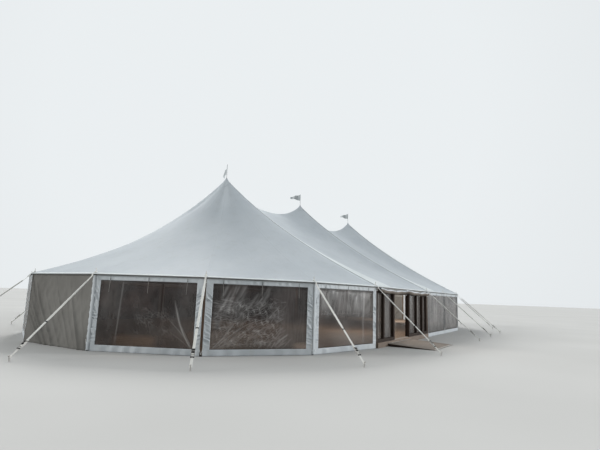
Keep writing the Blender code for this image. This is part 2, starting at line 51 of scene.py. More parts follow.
# Plan, from the frame
KING_X = [sum(corner.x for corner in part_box(f"king_pole_{number}")) / 2 for number in (1, 2, 3)]
END_X = KING_X[2]
KING_SPACING = KING_X[2] - KING_X[1]
BAY = KING_SPACING / 2
END_PANELS = 7
SIDE_BAYS = 4
END_TURN = math.pi / END_PANELS
CORNER_RADIUS = BAY / (2 * math.sin(END_TURN / 2))
END_APOTHEM = CORNER_RADIUS * math.cos(END_TURN / 2)

# Heights and roof form, as in the solids
PEAK_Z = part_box("roof_middle_near")[1].z
FLOOR_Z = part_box("floor_deck")[1].z
EAVE_Z = 2.05
ROOF_OVERHANG = 0.09
EDGE_SLOPE = 0.38
SIDE_FULLNESS = 1.05
END_FULLNESS = 0.277
FULLNESS_FADE = math.radians(60)
RIDGE_SAG = 0.45
RIDGE_SAG_REACH = 0.18
VALLEY_SAG = 0.42
VALLEY_FLANK = 3.0
ROUND_SHARE = 0.5

# Walls, as in the solids
WALL_FACE = 0.046
WALL_END_GAP = 0.03
HEM_Z = 0.015
WALL_TOP_Z = 1.985
BORDER_SIDE = 0.17
BORDER_TOP_Z = 1.85
BORDER_BOTTOM_Z = 0.17
ROPE_OFFSET = 0.0317
ROPE_Z = 1.875
ROPE_RADIUS = 0.009

# Guys and stakes, as in the solids
BAND_OFFSET = 0.079
BAND_Z = 1.9815
BAND_HEIGHT = 0.033
GUY_SPREAD = 2.2
GUY_TOP_Z = 1.98
GUY_FOOT_Z = 0.07
SLEEVE_START = 0.10
SLEEVE_END = 0.60
RATCHET_START = 0.83
RATCHET_END = 0.90
STAKE_RADIUS = 0.014
STAKE_HEIGHT = 0.13
STAKE_LEAN = 0.028
SIDE_POLE_RADIUS = 0.035
KING_RADIUS = 0.06
SPIKE_HEIGHT = 0.12

# Pennants, as in the solids: heading in degrees, reach from the rod, how far the end hangs, and cloth's own length
ROD_LENGTH = 0.65
PENNANT_HOIST = 0.34
PENNANT_TIP = 0.02
PENNANTS = ((58, 0.42, 0.30, 0.55), (121.7, 0.55, 0.03, 0.58), (126, 0.50, 0.02, 0.56))

# Camera, fitted to the photograph
IMAGE_WIDTH = 600
FOCAL_PIXELS = 438.4
CAMERA_AT = (-20.04, -12.41, 1.60)
CAMERA_HEADING = math.radians(31.69)
CAMERA_PITCH = math.radians(9.224)
CAMERA_ROLL = math.radians(-1.99)


# Plan corners and bays


def plan_corners():
    """The side poles' places, clockwise from above, starting where the entrance side meets the near end."""
    corners = []
    for side in (-1, 1):
        for i in range(END_PANELS + 1):
            angle = i * END_TURN
            along = END_X + math.sin(angle) * CORNER_RADIUS
            corners.append((side * along, side * math.cos(angle) * CORNER_RADIUS))
        for i in range(1, SIDE_BAYS):
            corners.append((side * (END_X - i * BAY), -side * CORNER_RADIUS))
    return [Vector(corner) for corner in corners]


CORNERS = plan_corners()
COUNT = len(CORNERS)
DOOR_CORNER = COUNT - 1
DOOR_BAYS = (COUNT - 2, COUNT - 1)
SIDES = {
    "near_end": tuple(range(END_PANELS + 1)),
    "back": tuple(range(END_PANELS, END_PANELS + SIDE_BAYS + 1)),
    "far_end": tuple(range(END_PANELS + SIDE_BAYS, 2 * END_PANELS + SIDE_BAYS + 1)),
    "front": tuple(range(2 * END_PANELS + SIDE_BAYS, COUNT + 1)),
}
PLAIN_BAYS = (END_PANELS // 2, END_PANELS + SIDE_BAYS + END_PANELS // 2)


def corner(index):
    return CORNERS[index % COUNT]


def along_bay(bay):
    return (corner(bay + 1) - corner(bay)).normalized()


def outward(bay):
    along = along_bay(bay)
    return Vector((-along.y, along.x))


def away_from(index):
    """The direction that a corner's guy runs in."""
    return (outward(index - 1) + outward(index)).normalized()


def offset_corner(index, distance):
    before, after = outward(index - 1), outward(index)
    return corner(index) + (before + after) * (distance / (1 + before.dot(after)))


def posts_of(side):
    """The corners whose poles and guys belong to a side."""
    indices = SIDES[side]
    if side == "front":
        return indices[1:3]
    return indices[1:-1] if side == "back" else indices


# Roof form, as in the solids: the ends are round near the peaks and flat between the hips at the eave


def rise(share, fullness):
    return math.log((1 + fullness) / (share + fullness)) / math.log((1 + fullness) / fullness)


def roof_z(x, y):
    along = abs(x) - END_X
    climb = PEAK_Z - EAVE_Z
    if along > 0:
        angle = math.atan2(along, abs(y))
        phase = (angle / END_TURN) % 1.0
        chord = math.cos((phase - 0.5) * END_TURN)
        reach = math.hypot(along, y)
        flat = min(max((reach * chord / END_APOTHEM - ROUND_SHARE) / (1 - ROUND_SHARE), 0), 1)
        flat *= flat * (3 - 2 * flat)
        share = reach * (chord * flat + math.cos(END_TURN / 2) * (1 - flat)) / END_APOTHEM
        fade = math.cos(min(angle / FULLNESS_FADE, 1.0) * math.pi / 2) ** 2
        fullness = END_FULLNESS + (SIDE_FULLNESS - END_FULLNESS) * fade
        sag = 0.0
        run = END_APOTHEM
    else:
        share = abs(y) / CORNER_RADIUS
        fullness = SIDE_FULLNESS
        span = (x - END_X) % KING_SPACING / KING_SPACING
        off = abs(2 * span - 1)
        ridge = (1 - off**2) * RIDGE_SAG * math.exp(-share / RIDGE_SAG_REACH) * (1 - share)
        sag = ridge + (1 - off**VALLEY_FLANK) * VALLEY_SAG * (1 - share**2)
        run = CORNER_RADIUS
    if share >= 1:
        return EAVE_Z - EDGE_SLOPE * (share - 1) * run
    return EAVE_Z + climb * rise(share, fullness) - sag


def on_roof(x, y, lift=0.0):
    return Vector((x, y, roof_z(x, y) + lift))


# Mesh building


def circle(radius, sides=16, squeeze=1.0):
    return [(radius * math.cos(TAU * i / sides), squeeze * radius * math.sin(TAU * i / sides)) for i in range(sides)]


def ribbon(width, thickness):
    """A flat section with slightly rounded edges, wide across its up direction."""
    w, t = width / 2, thickness / 2
    return [(-w, 0), (-w + t, -t), (w - t, -t), (w, 0), (w - t, t), (-w + t, t)]


def upright(width, thickness):
    """The same section, wide along its up direction."""
    return [(b, -a) for a, b in ribbon(width, thickness)]


class Shape:
    """Points and faces gathered into one mesh, each face with the number of its material."""

    def __init__(self):
        self.points = []
        self.faces = []
        self.marks = []

    def add(self, points, faces, mark=0):
        base = len(self.points)
        self.points += [tuple(point) for point in points]
        self.faces += [tuple(base + i for i in face) for face in faces]
        self.marks += [mark] * len(faces)

    def grid(self, rows, wrap=False, mark=0, caps=False):
        """Faces between rows of points. Wrap closes each row, and caps close the ends."""
        count = len(rows[0])
        faces = []
        for row in range(len(rows) - 1):
            for i in range(count if wrap else count - 1):
                after = (i + 1) % count
                faces.append((row * count + i, row * count + after, (row + 1) * count + after, (row + 1) * count + i))
        if caps:
            faces.append(tuple(reversed(range(count))))
            faces.append(tuple(range((len(rows) - 1) * count, len(rows) * count)))
        self.add([point for row in rows for point in row], faces, mark)

    def sweep(self, path, section, up=(0, 0, 1), mark=0, sizes=None):
        """A section carried along a path."""
        path = [Vector(point) for point in path]
        rings = []
        for i, point in enumerate(path):
            along = (path[min(i + 1, len(path) - 1)] - path[max(i - 1, 0)]).normalized()
            side = along.cross(Vector(up)).normalized()
            over = side.cross(along)
            size = sizes[i] if sizes else 1.0
            rings.append([point + side * (a * size) + over * (b * size) for a, b in section])
        self.grid(rings, wrap=True, mark=mark, caps=True)

    def turned(self, centre, axis, profile, sides=20, mark=0):
        """A profile of (distance along, radius) turned about an axis."""
        axis = Vector(axis).normalized()
        side = axis.orthogonal().normalized()
        over = axis.cross(side)
        rings = []
        for distance, radius in profile:
            middle = Vector(centre) + axis * distance
            ring = [middle + side * (radius * a) + over * (radius * b) for a, b in circle(1.0, sides)]
            rings.append(ring)
        self.grid(rings, wrap=True, mark=mark, caps=True)

    def block(self, centre, size, axes=((1, 0, 0), (0, 1, 0), (0, 0, 1)), mark=0):
        x, y, z = (Vector(axis) * (length / 2) for axis, length in zip(axes, size))
        centre = Vector(centre)
        points = [centre + x * a + y * b + z * c for a in (-1, 1) for b in (-1, 1) for c in (-1, 1)]
        faces = [(0, 1, 3, 2), (4, 6, 7, 5), (0, 4, 5, 1), (2, 3, 7, 6), (0, 2, 6, 4), (1, 5, 7, 3)]
        self.add(points, faces, mark)

    def piece(self, name, *materials, body=TENT, slot=None, thickness=0.0, bevel=0.0, sharp=math.radians(40)):
        """The object, riding on its body."""
        mesh = bpy.data.meshes.new(name)
        mesh.from_pydata(self.points, [], self.faces)
        for material in materials:
            mesh.materials.append(material)
        mesh.polygons.foreach_set("material_index", self.marks)
        mesh.shade_smooth()
        mesh.set_sharp_from_angle(angle=sharp)
        obj = bpy.data.objects.new(name, mesh)
        bpy.context.scene.collection.objects.link(obj)
        if thickness:
            step = obj.modifiers.new("thickness", "SOLIDIFY")
            step.thickness = thickness
            step.offset = 0.0
        if bevel:
            step = obj.modifiers.new("bevel", "BEVEL")
            step.width = bevel
            step.segments = 2
            step.limit_method = "ANGLE"
            step.harden_normals = False
        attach(obj, body)
        return obj


# Materials


class Finish:
    """A procedural material around one Principled shader."""

    def __init__(self, name, color, roughness, metallic=0.0, alpha=1.0, specular=0.5, coat=0.0):
        self.material = bpy.data.materials.new(name)
        self.material.use_nodes = True
        self.tree = self.material.node_tree
        self.shader = self.tree.nodes["Principled BSDF"]
        self.shader.inputs["Base Color"].default_value = (*color, 1.0)
        self.shader.inputs["Roughness"].default_value = roughness
        self.shader.inputs["Metallic"].default_value = metallic
        self.shader.inputs["Alpha"].default_value = alpha
        self.shader.inputs["Specular IOR Level"].default_value = specular
        self.shader.inputs["Coat Weight"].default_value = coat
        self.place = self.node("ShaderNodeTexCoord").outputs["Object"]
        self.normal = None

    def node(self, kind, **settings):
        made = self.tree.nodes.new(kind)
        for key, value in settings.items():
            setattr(made, key, value)
        return made

    def link(self, source, target):
        self.tree.links.new(source, target)

    def stretched(self, stretch, turn=0.0):
        mapping = self.node("ShaderNodeMapping")
        mapping.inputs["Scale"].default_value = stretch
        mapping.inputs["Rotation"].default_value = (0, 0, turn)
        self.link(self.place, mapping.inputs["Vector"])
        return mapping.outputs["Vector"]

    def noise(self, scale, detail=4.0, stretch=(1, 1, 1), rough=0.55):
        made = self.node("ShaderNodeTexNoise")
        made.inputs["Scale"].default_value = scale
        made.inputs["Detail"].default_value = detail
        made.inputs["Roughness"].default_value = rough
        self.link(self.stretched(stretch), made.inputs["Vector"])
        return made.outputs["Fac"]

    def ramp(self, source, *stops):
        """Colours at places along a value from 0 to 1."""
        made = self.node("ShaderNodeValToRGB")
        elements = made.color_ramp.elements
        while len(elements) < len(stops):
            elements.new(0.5)
        for element, (place, color) in zip(elements, stops):
            element.position = place
            element.color = (*color, 1.0)
        self.link(source, made.inputs["Fac"])
        return made.outputs["Color"]

    def blend(self, first, second, amount, mode="MIX"):
        made = self.node("ShaderNodeMix", data_type="RGBA", blend_type=mode)
        for value, socket in ((first, made.inputs[6]), (second, made.inputs[7]), (amount, made.inputs[0])):
            if isinstance(value, bpy.types.NodeSocket):
                self.link(value, socket)
            else:
                socket.default_value = (*value, 1.0) if isinstance(value, tuple) else value
        return made.outputs[2]

    def color(self, source):
        self.link(source, self.shader.inputs["Base Color"])
        return self

    def rough(self, source, low, high):
        made = self.node("ShaderNodeMapRange")
        made.inputs["To Min"].default_value = low
        made.inputs["To Max"].default_value = high
        self.link(source, made.inputs["Value"])
        self.link(made.outputs["Result"], self.shader.inputs["Roughness"])
        return self

    def bump(self, source, distance, strength=1.0):
        made = self.node("ShaderNodeBump")
        made.inputs["Strength"].default_value = strength
        made.inputs["Distance"].default_value = distance
        self.link(source, made.inputs["Height"])
        if self.normal:
            self.link(self.normal, made.inputs["Normal"])
        self.normal = made.outputs["Normal"]
        self.link(self.normal, self.shader.inputs["Normal"])
        return self


def cloth(name, light, dark, stain, roughness, grain, specular=0.4):
    """Coated or plain cloth: slow colour drift, faint dirt that runs down, and a fine grain."""
    finish = Finish(name, light, roughness, specular=specular)
    drift = finish.ramp(finish.noise(0.9, 5.0), (0.35, dark), (0.65, light))
    runs = finish.ramp(finish.noise(1.6, 6.0, (2.6, 2.6, 0.35), 0.65), (0.52, (0, 0, 0)), (0.78, (1, 1, 1)))
    spots = finish.ramp(finish.noise(14.0, 8.0), (0.55, (0, 0, 0)), (0.75, (1, 1, 1)))
    dirt = finish.blend(runs, spots, 0.4, "ADD")
    faint = finish.blend((0, 0, 0), dirt, 0.3)
    finish.color(finish.blend(drift, stain, faint))
    finish.rough(finish.noise(5.0, 5.0), roughness - 0.08, roughness + 0.1)
    finish.bump(finish.noise(3.2, 3.0), 0.012, 0.35)
    finish.bump(finish.noise(grain, 2.0), 0.0006, 0.5)
    return finish.material


def veiled_cloth(name, light, veil):
    """White cloth at the foot and the top, and as grey and streaked as the clear sheet beside it between: that sheet's
    painted shade of the dim inside and its pale streaks, copied onto cloth.
    """
    finish = Finish(name, light, 0.5, specular=0.3)
    split = finish.node("ShaderNodeSeparateXYZ")
    finish.link(finish.place, split.inputs["Vector"])
    height = finish.node("ShaderNodeMapRange")
    height.inputs["From Min"].default_value = 0.15
    height.inputs["From Max"].default_value = 0.19
    finish.link(split.outputs["Z"], height.inputs["Value"])
    header = finish.node("ShaderNodeMapRange")
    header.inputs["From Min"].default_value = 1.84
    header.inputs["From Max"].default_value = 1.87
    header.inputs["To Min"].default_value = 1.0
    header.inputs["To Max"].default_value = 0.0
    finish.link(split.outputs["Z"], header.inputs["Value"])
    between = finish.node("ShaderNodeMath", operation="MULTIPLY")
    finish.link(height.outputs["Result"], between.inputs[0])
    finish.link(header.outputs["Result"], between.inputs[1])
    pale = tuple(1.35 * part for part in veil)
    streaks = finish.ramp(finish.noise(3.0, 4.0, (2.6, 2.6, 0.25), 0.6), (0.4, veil), (0.65, pale))
    finish.color(finish.blend(light, streaks, between.outputs["Value"]))
    finish.bump(finish.noise(3.2, 3.0), 0.012, 0.35)
    finish.bump(finish.noise(300.0, 2.0), 0.0006, 0.5)
    return finish.material


def timber(name, light, dark, roughness, stretch, scale=6.0, specular=0.4):
    """Wood with long grain in the direction that is stretched least, and small wear."""
    finish = Finish(name, light, roughness, specular=specular)
    grain = finish.noise(scale, 8.0, stretch, 0.6)
    fine = finish.noise(scale * 5, 6.0, stretch, 0.7)
    wide = finish.noise(0.8, 4.0)
    color = finish.ramp(grain, (0.3, dark), (0.52, light), (0.75, dark))
    finish.color(finish.blend(color, dark, finish.ramp(wide, (0.4, (0, 0, 0)), (0.75, (0.6, 0.6, 0.6)))))
    finish.rough(fine, roughness - 0.1, roughness + 0.15)
    finish.bump(grain, 0.0015, 0.5)
    finish.bump(fine, 0.0006, 0.6)
    return finish.material


def boards(name, light, dark, row, length, roughness):
    """Floor boards with gaps between rows and butted ends."""
    finish = Finish(name, light, roughness)
    bricks = finish.node("ShaderNodeTexBrick")
    bricks.inputs["Scale"].default_value = 1.0
    bricks.inputs["Row Height"].default_value = row
    bricks.inputs["Brick Width"].default_value = length
    bricks.inputs["Mortar Size"].default_value = 0.004
    bricks.inputs["Color1"].default_value = (*light, 1.0)
    bricks.inputs["Color2"].default_value = (*dark, 1.0)
    bricks.inputs["Mortar"].default_value = (0.02, 0.015, 0.01, 1.0)
    finish.link(finish.place, bricks.inputs["Vector"])
    grain = finish.noise(5.0, 8.0, (1, 14, 14), 0.65)
    worn = finish.ramp(grain, (0.35, (0.55, 0.55, 0.55)), (0.65, (1, 1, 1)))
    finish.color(finish.blend(bricks.outputs["Color"], worn, 1.0, "MULTIPLY"))
    finish.rough(grain, roughness - 0.12, roughness + 0.12)
    gaps = finish.ramp(bricks.outputs["Fac"], (0.0, (1, 1, 1)), (1.0, (0, 0, 0)))
    finish.bump(gaps, 0.004, 0.8)
    finish.bump(grain, 0.001, 0.5)
    return finish.material


def metal(name, color, roughness, rust=(0.12, 0.06, 0.03), metallic=0.9):
    finish = Finish(name, color, roughness, metallic=metallic)
    patches = finish.ramp(finish.noise(30.0, 8.0), (0.55, (0, 0, 0)), (0.7, (1, 1, 1)))
    finish.color(finish.blend(color, rust, finish.blend((0, 0, 0), patches, 0.4)))
    finish.rough(finish.noise(60.0, 5.0), roughness - 0.1, roughness + 0.2)
    finish.bump(finish.noise(90.0, 4.0), 0.0004, 0.4)
    return finish.material


def clear_film(name, shade_tint, haze_and_highlight_color, alpha, haze_and_highlight_alpha, roughness, shaded=False):
    """Clear flexible sheet: dark and see-through where it lies flat, its near-black tint and high opacity painted shade
    for the dim inside; pale where creased, partly the sheet's own whitening and partly a painted highlight.
    """
    finish = Finish(name, shade_tint, roughness, alpha=alpha, specular=0.25)
    creases = finish.node("ShaderNodeAttribute", attribute_name="crease_whitening_and_highlight").outputs["Fac"]
    smears = finish.noise(1.1, 5.0, (1, 1, 0.6), 0.6)
    soft = finish.ramp(smears, (0.42, (0, 0, 0)), (0.85, (0.22, 0.22, 0.22)))
    # The paleness is partly the sheet's whitening at its creases and partly a painted highlight.
    haze_and_highlight = finish.blend(soft, creases, 1.0, "ADD")
    warm = tuple(2.6 * part for part in shade_tint)
    ground = finish.ramp(finish.noise(1.7, 3.0, (1, 1, 0.8)), (0.46, shade_tint), (0.66, warm))
    finish.color(finish.blend(ground, haze_and_highlight_color, haze_and_highlight))
    # Opacity: the near-black tint hides most of the dim inside as painted shade, and the pale places are nearly opaque.
    cover = finish.node("ShaderNodeMapRange")
    cover.inputs["To Min"].default_value = alpha
    if shaded:
        finish.link(finish.node("ShaderNodeAttribute", attribute_name="cover").outputs["Fac"], cover.inputs["To Min"])
    cover.inputs["To Max"].default_value = haze_and_highlight_alpha
    finish.link(haze_and_highlight, cover.inputs["Value"])
    finish.link(cover.outputs["Result"], finish.shader.inputs["Alpha"])
    finish.bump(finish.noise(6.0, 4.0, (1, 1, 0.5)), 0.004, 0.4)
    return finish.material


def glazing(name, dark, pale, alpha, pale_alpha):
    """Flat panes with soft upright reflections."""
    finish = Finish(name, dark, 0.08, alpha=alpha, specular=0.4)
    streaks = finish.ramp(finish.noise(2.4, 3.0, (2.6, 2.6, 0.22), 0.45), (0.35, (0, 0, 0)), (0.72, (1, 1, 1)))
    finish.color(finish.blend(dark, pale, streaks))
    cover = finish.node("ShaderNodeMapRange")
    cover.inputs["To Min"].default_value = alpha
    cover.inputs["To Max"].default_value = pale_alpha
    finish.link(streaks, cover.inputs["Value"])
    finish.link(cover.outputs["Result"], finish.shader.inputs["Alpha"])
    finish.bump(finish.noise(1.5, 2.0), 0.002, 0.3)
    return finish.material


def make_materials():
    return {
        "roof": cloth("roof_pvc", (0.45, 0.49, 0.52), (0.415, 0.455, 0.488), (0.33, 0.345, 0.34), 0.7, 260.0, 0.2),
        # Paler lap cloth: partly the real doubled laps and hem, partly painted light for the sky-lit strip beside each
        # roof joint and the bright rim along the eave.
        "lap_and_painted_light": cloth("roof_lap_pvc_painted_light", (0.64, 0.68, 0.69), (0.59, 0.63, 0.645), (0.48, 0.49, 0.48), 0.7, 260.0, 0.2),
        # Dark seam cloth: the stitching's colour, and along each lap's near edge a painted shadow line.
        "seam_and_shadow_line": cloth("roof_seam_and_shadow_pvc", (0.31, 0.335, 0.35), (0.27, 0.295, 0.31), (0.2, 0.21, 0.21), 0.75, 260.0, 0.15),
        "wall": cloth("wall_pvc", (0.56, 0.595, 0.62), (0.47, 0.505, 0.53), (0.28, 0.27, 0.23), 0.5, 300.0),
        # Border cloth grey and streaked like the clear sheet: its painted shade and pale streaks copied onto cloth.
        "veiled_wall": veiled_cloth("veiled_wall_pvc", (0.56, 0.595, 0.62), (0.095, 0.096, 0.095)),
        # Plain canvas: base colour darkened to the tone the wall has in shade, so partly its own colour and partly
        # painted shade.
        "canvas": cloth("wall_canvas", (0.19, 0.185, 0.172), (0.145, 0.14, 0.13), (0.09, 0.082, 0.068), 0.85, 420.0, 0.2),
        # Brown-grey cloth for the lower side of the rolled curtains: painted shade under the rolls.
        "roll_underside_painted_shade": cloth("curtain_underside_painted_shade", (0.23, 0.2, 0.175), (0.16, 0.135, 0.115), (0.09, 0.075, 0.06), 0.85, 420.0, 0.15),
        # Clear sheets: near-black tint and high opacity as painted shade for the dim inside, pale creases partly
        # painted highlight.
        "clear": clear_film("clear_pvc", (0.018, 0.013, 0.012), (0.46, 0.45, 0.44), 0.7, 0.93, 0.22, shaded=True),
        "dull_clear": clear_film("clear_pvc_dull", (0.016, 0.014, 0.013), (0.3, 0.3, 0.29), 0.88, 0.95, 0.2),
        "glazing": glazing("door_glazing", (0.085, 0.072, 0.066), (0.24, 0.225, 0.215), 0.58, 0.82),
        "door": timber("door_timber", (0.05, 0.034, 0.026), (0.018, 0.013, 0.011), 0.65, (9, 9, 1), specular=0.12),
        "pole": timber("pole_timber", (0.13, 0.08, 0.052), (0.06, 0.038, 0.026), 0.6, (10, 10, 1)),
        "floor": boards("floor_boards", (0.26, 0.19, 0.14), (0.2, 0.145, 0.105), 0.2, 2.4, 0.6),
        "ramp": timber("ramp_ply", (0.26, 0.225, 0.195), (0.175, 0.15, 0.13), 0.8, (2, 14, 14), 2.0),
        "webbing": cloth("webbing", (0.74, 0.74, 0.71), (0.64, 0.64, 0.61), (0.36, 0.33, 0.27), 0.75, 700.0, 0.3),
        "tape": cloth("wall_tape", (0.34, 0.33, 0.31), (0.26, 0.25, 0.24), (0.16, 0.15, 0.13), 0.8, 700.0, 0.2),
        # Dark band cloth: the curtain straps' own colour, and on the eave band a painted shadow under the roof's edge.
        "band": cloth("eave_shadow_band", (0.15, 0.15, 0.145), (0.1, 0.1, 0.095), (0.05, 0.05, 0.04), 0.8, 700.0, 0.2),
        "pennant": cloth("pennant_cloth", (0.56, 0.59, 0.6), (0.47, 0.5, 0.51), (0.3, 0.3, 0.29), 0.8, 500.0, 0.2),
        "steel": metal("stake_steel", (0.5, 0.49, 0.47), 0.5),
        "rod": metal("pennant_rod", (0.22, 0.225, 0.23), 0.6, metallic=0.2),
        "dark_steel": metal("black_fittings", (0.03, 0.03, 0.032), 0.5, (0.06, 0.05, 0.045)),
    }


finishes = make_materials()


# Roof


HEM_WIDTH = 0.07
LAP_NEAR = 0.05
LAP_FAR = 1.4
LAP_PUFF = 0.03
LAP_EDGE = ((-LAP_NEAR, 0.0), (-LAP_NEAR * 0.9, 0.009), (0.0, 0.007))


def roof_shares(rings):
    return [(i / rings) ** 1.35 for i in range(rings + 1)]


def roof_part(name, node, rows, flat, area):
    """One sheet of the roof from rows of plan points, which may share a first point."""
    shape = Shape()
    index = {}
    for row in rows:
        for x, y in row:
            index.setdefault((round(x, 5), round(y, 5)), len(index))
    points = [None] * len(index)
    for row in rows:
        for x, y in row:
            points[index[(round(x, 5), round(y, 5))]] = on_roof(x, y, -0.002)
    faces = []
    for row, following in zip(rows, rows[1:]):
        for i in range(len(row) - 1):
            keys = [index[(round(x, 5), round(y, 5))] for x, y in (row[i], row[i + 1], following[i + 1], following[i])]
            faces.append(tuple(key for n, key in enumerate(keys) if key != keys[n - 1]))
    shape.add(points, faces)
    sheet = shape.piece(name, finishes["roof"], slot="roof_pvc", thickness=0.003)
    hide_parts(node)
    return sheet, flat, area


def polar(side, angle, share):
    phase = (angle / END_TURN) % 1.0
    radius = END_APOTHEM / math.cos((phase - 0.5) * END_TURN) * share
    return side * (END_X + math.sin(angle) * radius), side * -math.cos(angle) * radius


def seam_line(shape, start, end, width, lift, places):
    """A sewn band on the roof, along a straight line in plan, at the sheet's own steps."""
    start, end = Vector(start), Vector(end)
    across = (end - start).normalized()
    across = Vector((-across.y, across.x)) * (width / 2)
    rows = []
    for place in places:
        middle = start.lerp(end, place)
        crown = [middle + across * part for part in (-1, -0.8, 0.8, 1)]
        rows.append([on_roof(p.x, p.y, high) for p, high in zip(crown, (0.0, lift, lift, 0.0))])
    shape.grid(rows)


def edge_tube(shape, path, radius):
    shape.sweep(path, circle(radius, 10))


def roof_edge(indices, steps=6):
    """Points along the roof's edge, from corner to corner."""
    path = []
    for a, b in zip(indices, indices[1:]):
        first, last = offset_corner(a, ROOF_OVERHANG), offset_corner(b, ROOF_OVERHANG)
        path += [first.lerp(last, i / steps) for i in range(steps)]
    path.append(offset_corner(indices[-1], ROOF_OVERHANG))
    return path


def eave_hem(shape, path):
    """The doubled cloth along the roof's edge, over its rope."""
    for a, b in zip(path, path[1:]):
        along = (b - a).normalized()
        inward = Vector((-along.y, along.x)) * HEM_WIDTH
        if (a + inward - Vector((max(-END_X, min(END_X, a.x)), 0))).length > (a - Vector((max(-END_X, min(END_X, a.x)), 0))).length:
            inward = -inward
        rows = [[p + inward * part for part in (1.0, 0.94, 0.5, 0.04)] for p in (a, b)]
        shape.grid([[on_roof(q.x, q.y, high) for q, high in zip(row, (0.0, 0.002, 0.002, 0.002))] for row in rows])


def make_roof_end(side, name, indices):
    edge = 1 + ROOF_OVERHANG / END_APOTHEM
    columns = END_PANELS * 12
    shares = [*roof_shares(46), edge]
    rows = [[polar(side, i * END_TURN / 12, share) for share in shares] for i in range(columns + 1)]
    sheet, _, _ = roof_part(f"roof_{name}_sheet", f"roof_{name}", rows, None, None)
    seams = Shape()
    for i in range(2 * END_PANELS + 1):
        angle = i * END_TURN / 2
        hip = i % 2 == 0
        inner, outer = polar(side, angle, 0.0), polar(side, angle, edge)
        places = [share / edge for share in shares if share > 0.03]
        seam_line(seams, inner, outer, 0.06 if hip else 0.03, 0.002 if hip else 0.001, places)
    seams.piece(f"roof_{name}_seams", finishes["roof"], slot="roof_pvc")
    hem = Shape()
    edge_tube(hem, [on_roof(p.x, p.y, -0.006) for p in roof_edge(indices)], 0.011)
    eave_hem(hem, roof_edge(indices))
    # The edge's paler cloth paints the bright rim along the eave.
    hem.piece(f"roof_{name}_edge", finishes["lap_and_painted_light"], slot="roof_pvc")


def make_roof_middle(name, start):
    edge = 1 + ROOF_OVERHANG / CORNER_RADIUS
    half = [*roof_shares(46), edge]
    across = [-share for share in reversed(half)] + half[1:]
    steps = 36
    rows = [[(start + KING_SPACING * i / steps, share * CORNER_RADIUS) for share in across] for i in range(steps + 1)]
    sheet, _, _ = roof_part(f"roof_{name}_sheet", f"roof_{name}", rows, None, None)
    seams = Shape()
    for i in range(1, 4):
        x = start + i * KING_SPACING / 4
        for y in (-edge, edge):
            places = [share / edge for share in half]
            wide = i == 2
            seam_line(seams, (x, 0), (x, y * CORNER_RADIUS), 0.06 if wide else 0.03, 0.002 if wide else 0.001, places)
    seams.piece(f"roof_{name}_seams", finishes["roof"], slot="roof_pvc")
    hem = Shape()
    for y in (-1, 1):
        points = [Vector((start + KING_SPACING * i / 12, y * edge * CORNER_RADIUS)) for i in range(13)]
        edge_tube(hem, [on_roof(p.x, p.y, -0.006) for p in points], 0.011)
        eave_hem(hem, points)
    # The edge's paler cloth paints the bright rim along the eave.
    hem.piece(f"roof_{name}_edge", finishes["lap_and_painted_light"], slot="roof_pvc")


def lap_point(king_x, side, along, share):
    """A place on a lap in plan. Past the last king pole it turns with the far end's cloth."""
    if king_x < END_X or along < 0:
        width = 1 - 0.82 * (1 - share) ** 4 if along > 0 else 1.0
        return king_x + along * width, side * share * CORNER_RADIUS
    turn = along / CORNER_RADIUS
    return polar(1, turn if side < 0 else math.pi - turn, share)


def make_joint_laps():
    """The wide laced laps over the joints of the roof's sections, from each peak to both eaves, paler as painted light
    for the sky-lit strip beside each joint, with a painted shadow line along the near edge.
    """
    laps = Shape()
    edge = 1 + ROOF_OVERHANG / CORNER_RADIUS
    puffs = [(i / 24, 0.007, LAP_PUFF * abs(math.sin(math.pi * i / 8)) ** 0.7) for i in range(25)]
    for x in KING_X:
        for y in (-1, 1):
            near, far = [], []
            for share in [*roof_shares(46), edge]:
                swell = min(1.0, 3 * share, (edge - share) / 0.04)
                near.append([on_roof(*lap_point(x, y, along, share), high) for along, high in LAP_EDGE])
                row = [on_roof(*lap_point(x, y, LAP_FAR * t, share), low + swell * high) for t, low, high in puffs]
                far.append([*row, on_roof(*lap_point(x, y, LAP_FAR + 0.004, share))])
            # Near edge in the dark seam cloth: a painted shadow line along the joint.
            laps.grid(near, mark=1)
            laps.grid(far)
    laps.piece("roof_joint_laps", finishes["lap_and_painted_light"], finishes["seam_and_shadow_line"], slot="roof_pvc")
    stitches = Shape()
    for x in KING_X:
        for y in (-1, 1):
            for line in (1 / 3, 2 / 3):
                rows = []
                for share in roof_shares(46)[4:]:
                    sides = [lap_point(x, y, LAP_FAR * line + off, share) for off in (-0.02, -0.012, 0.012, 0.02)]
                    rows.append([on_roof(*place, high) for place, high in zip(sides, (0.006, 0.0115, 0.0115, 0.006))])
                stitches.grid(rows)
    stitches.piece("roof_lap_stitching", finishes["seam_and_shadow_line"], slot="roof_pvc")


COLLAR_NECK = 0.02
COLLAR_REACH = 0.3
COLLAR_HEIGHT = 0.06
COLLAR_FALL = 0.075


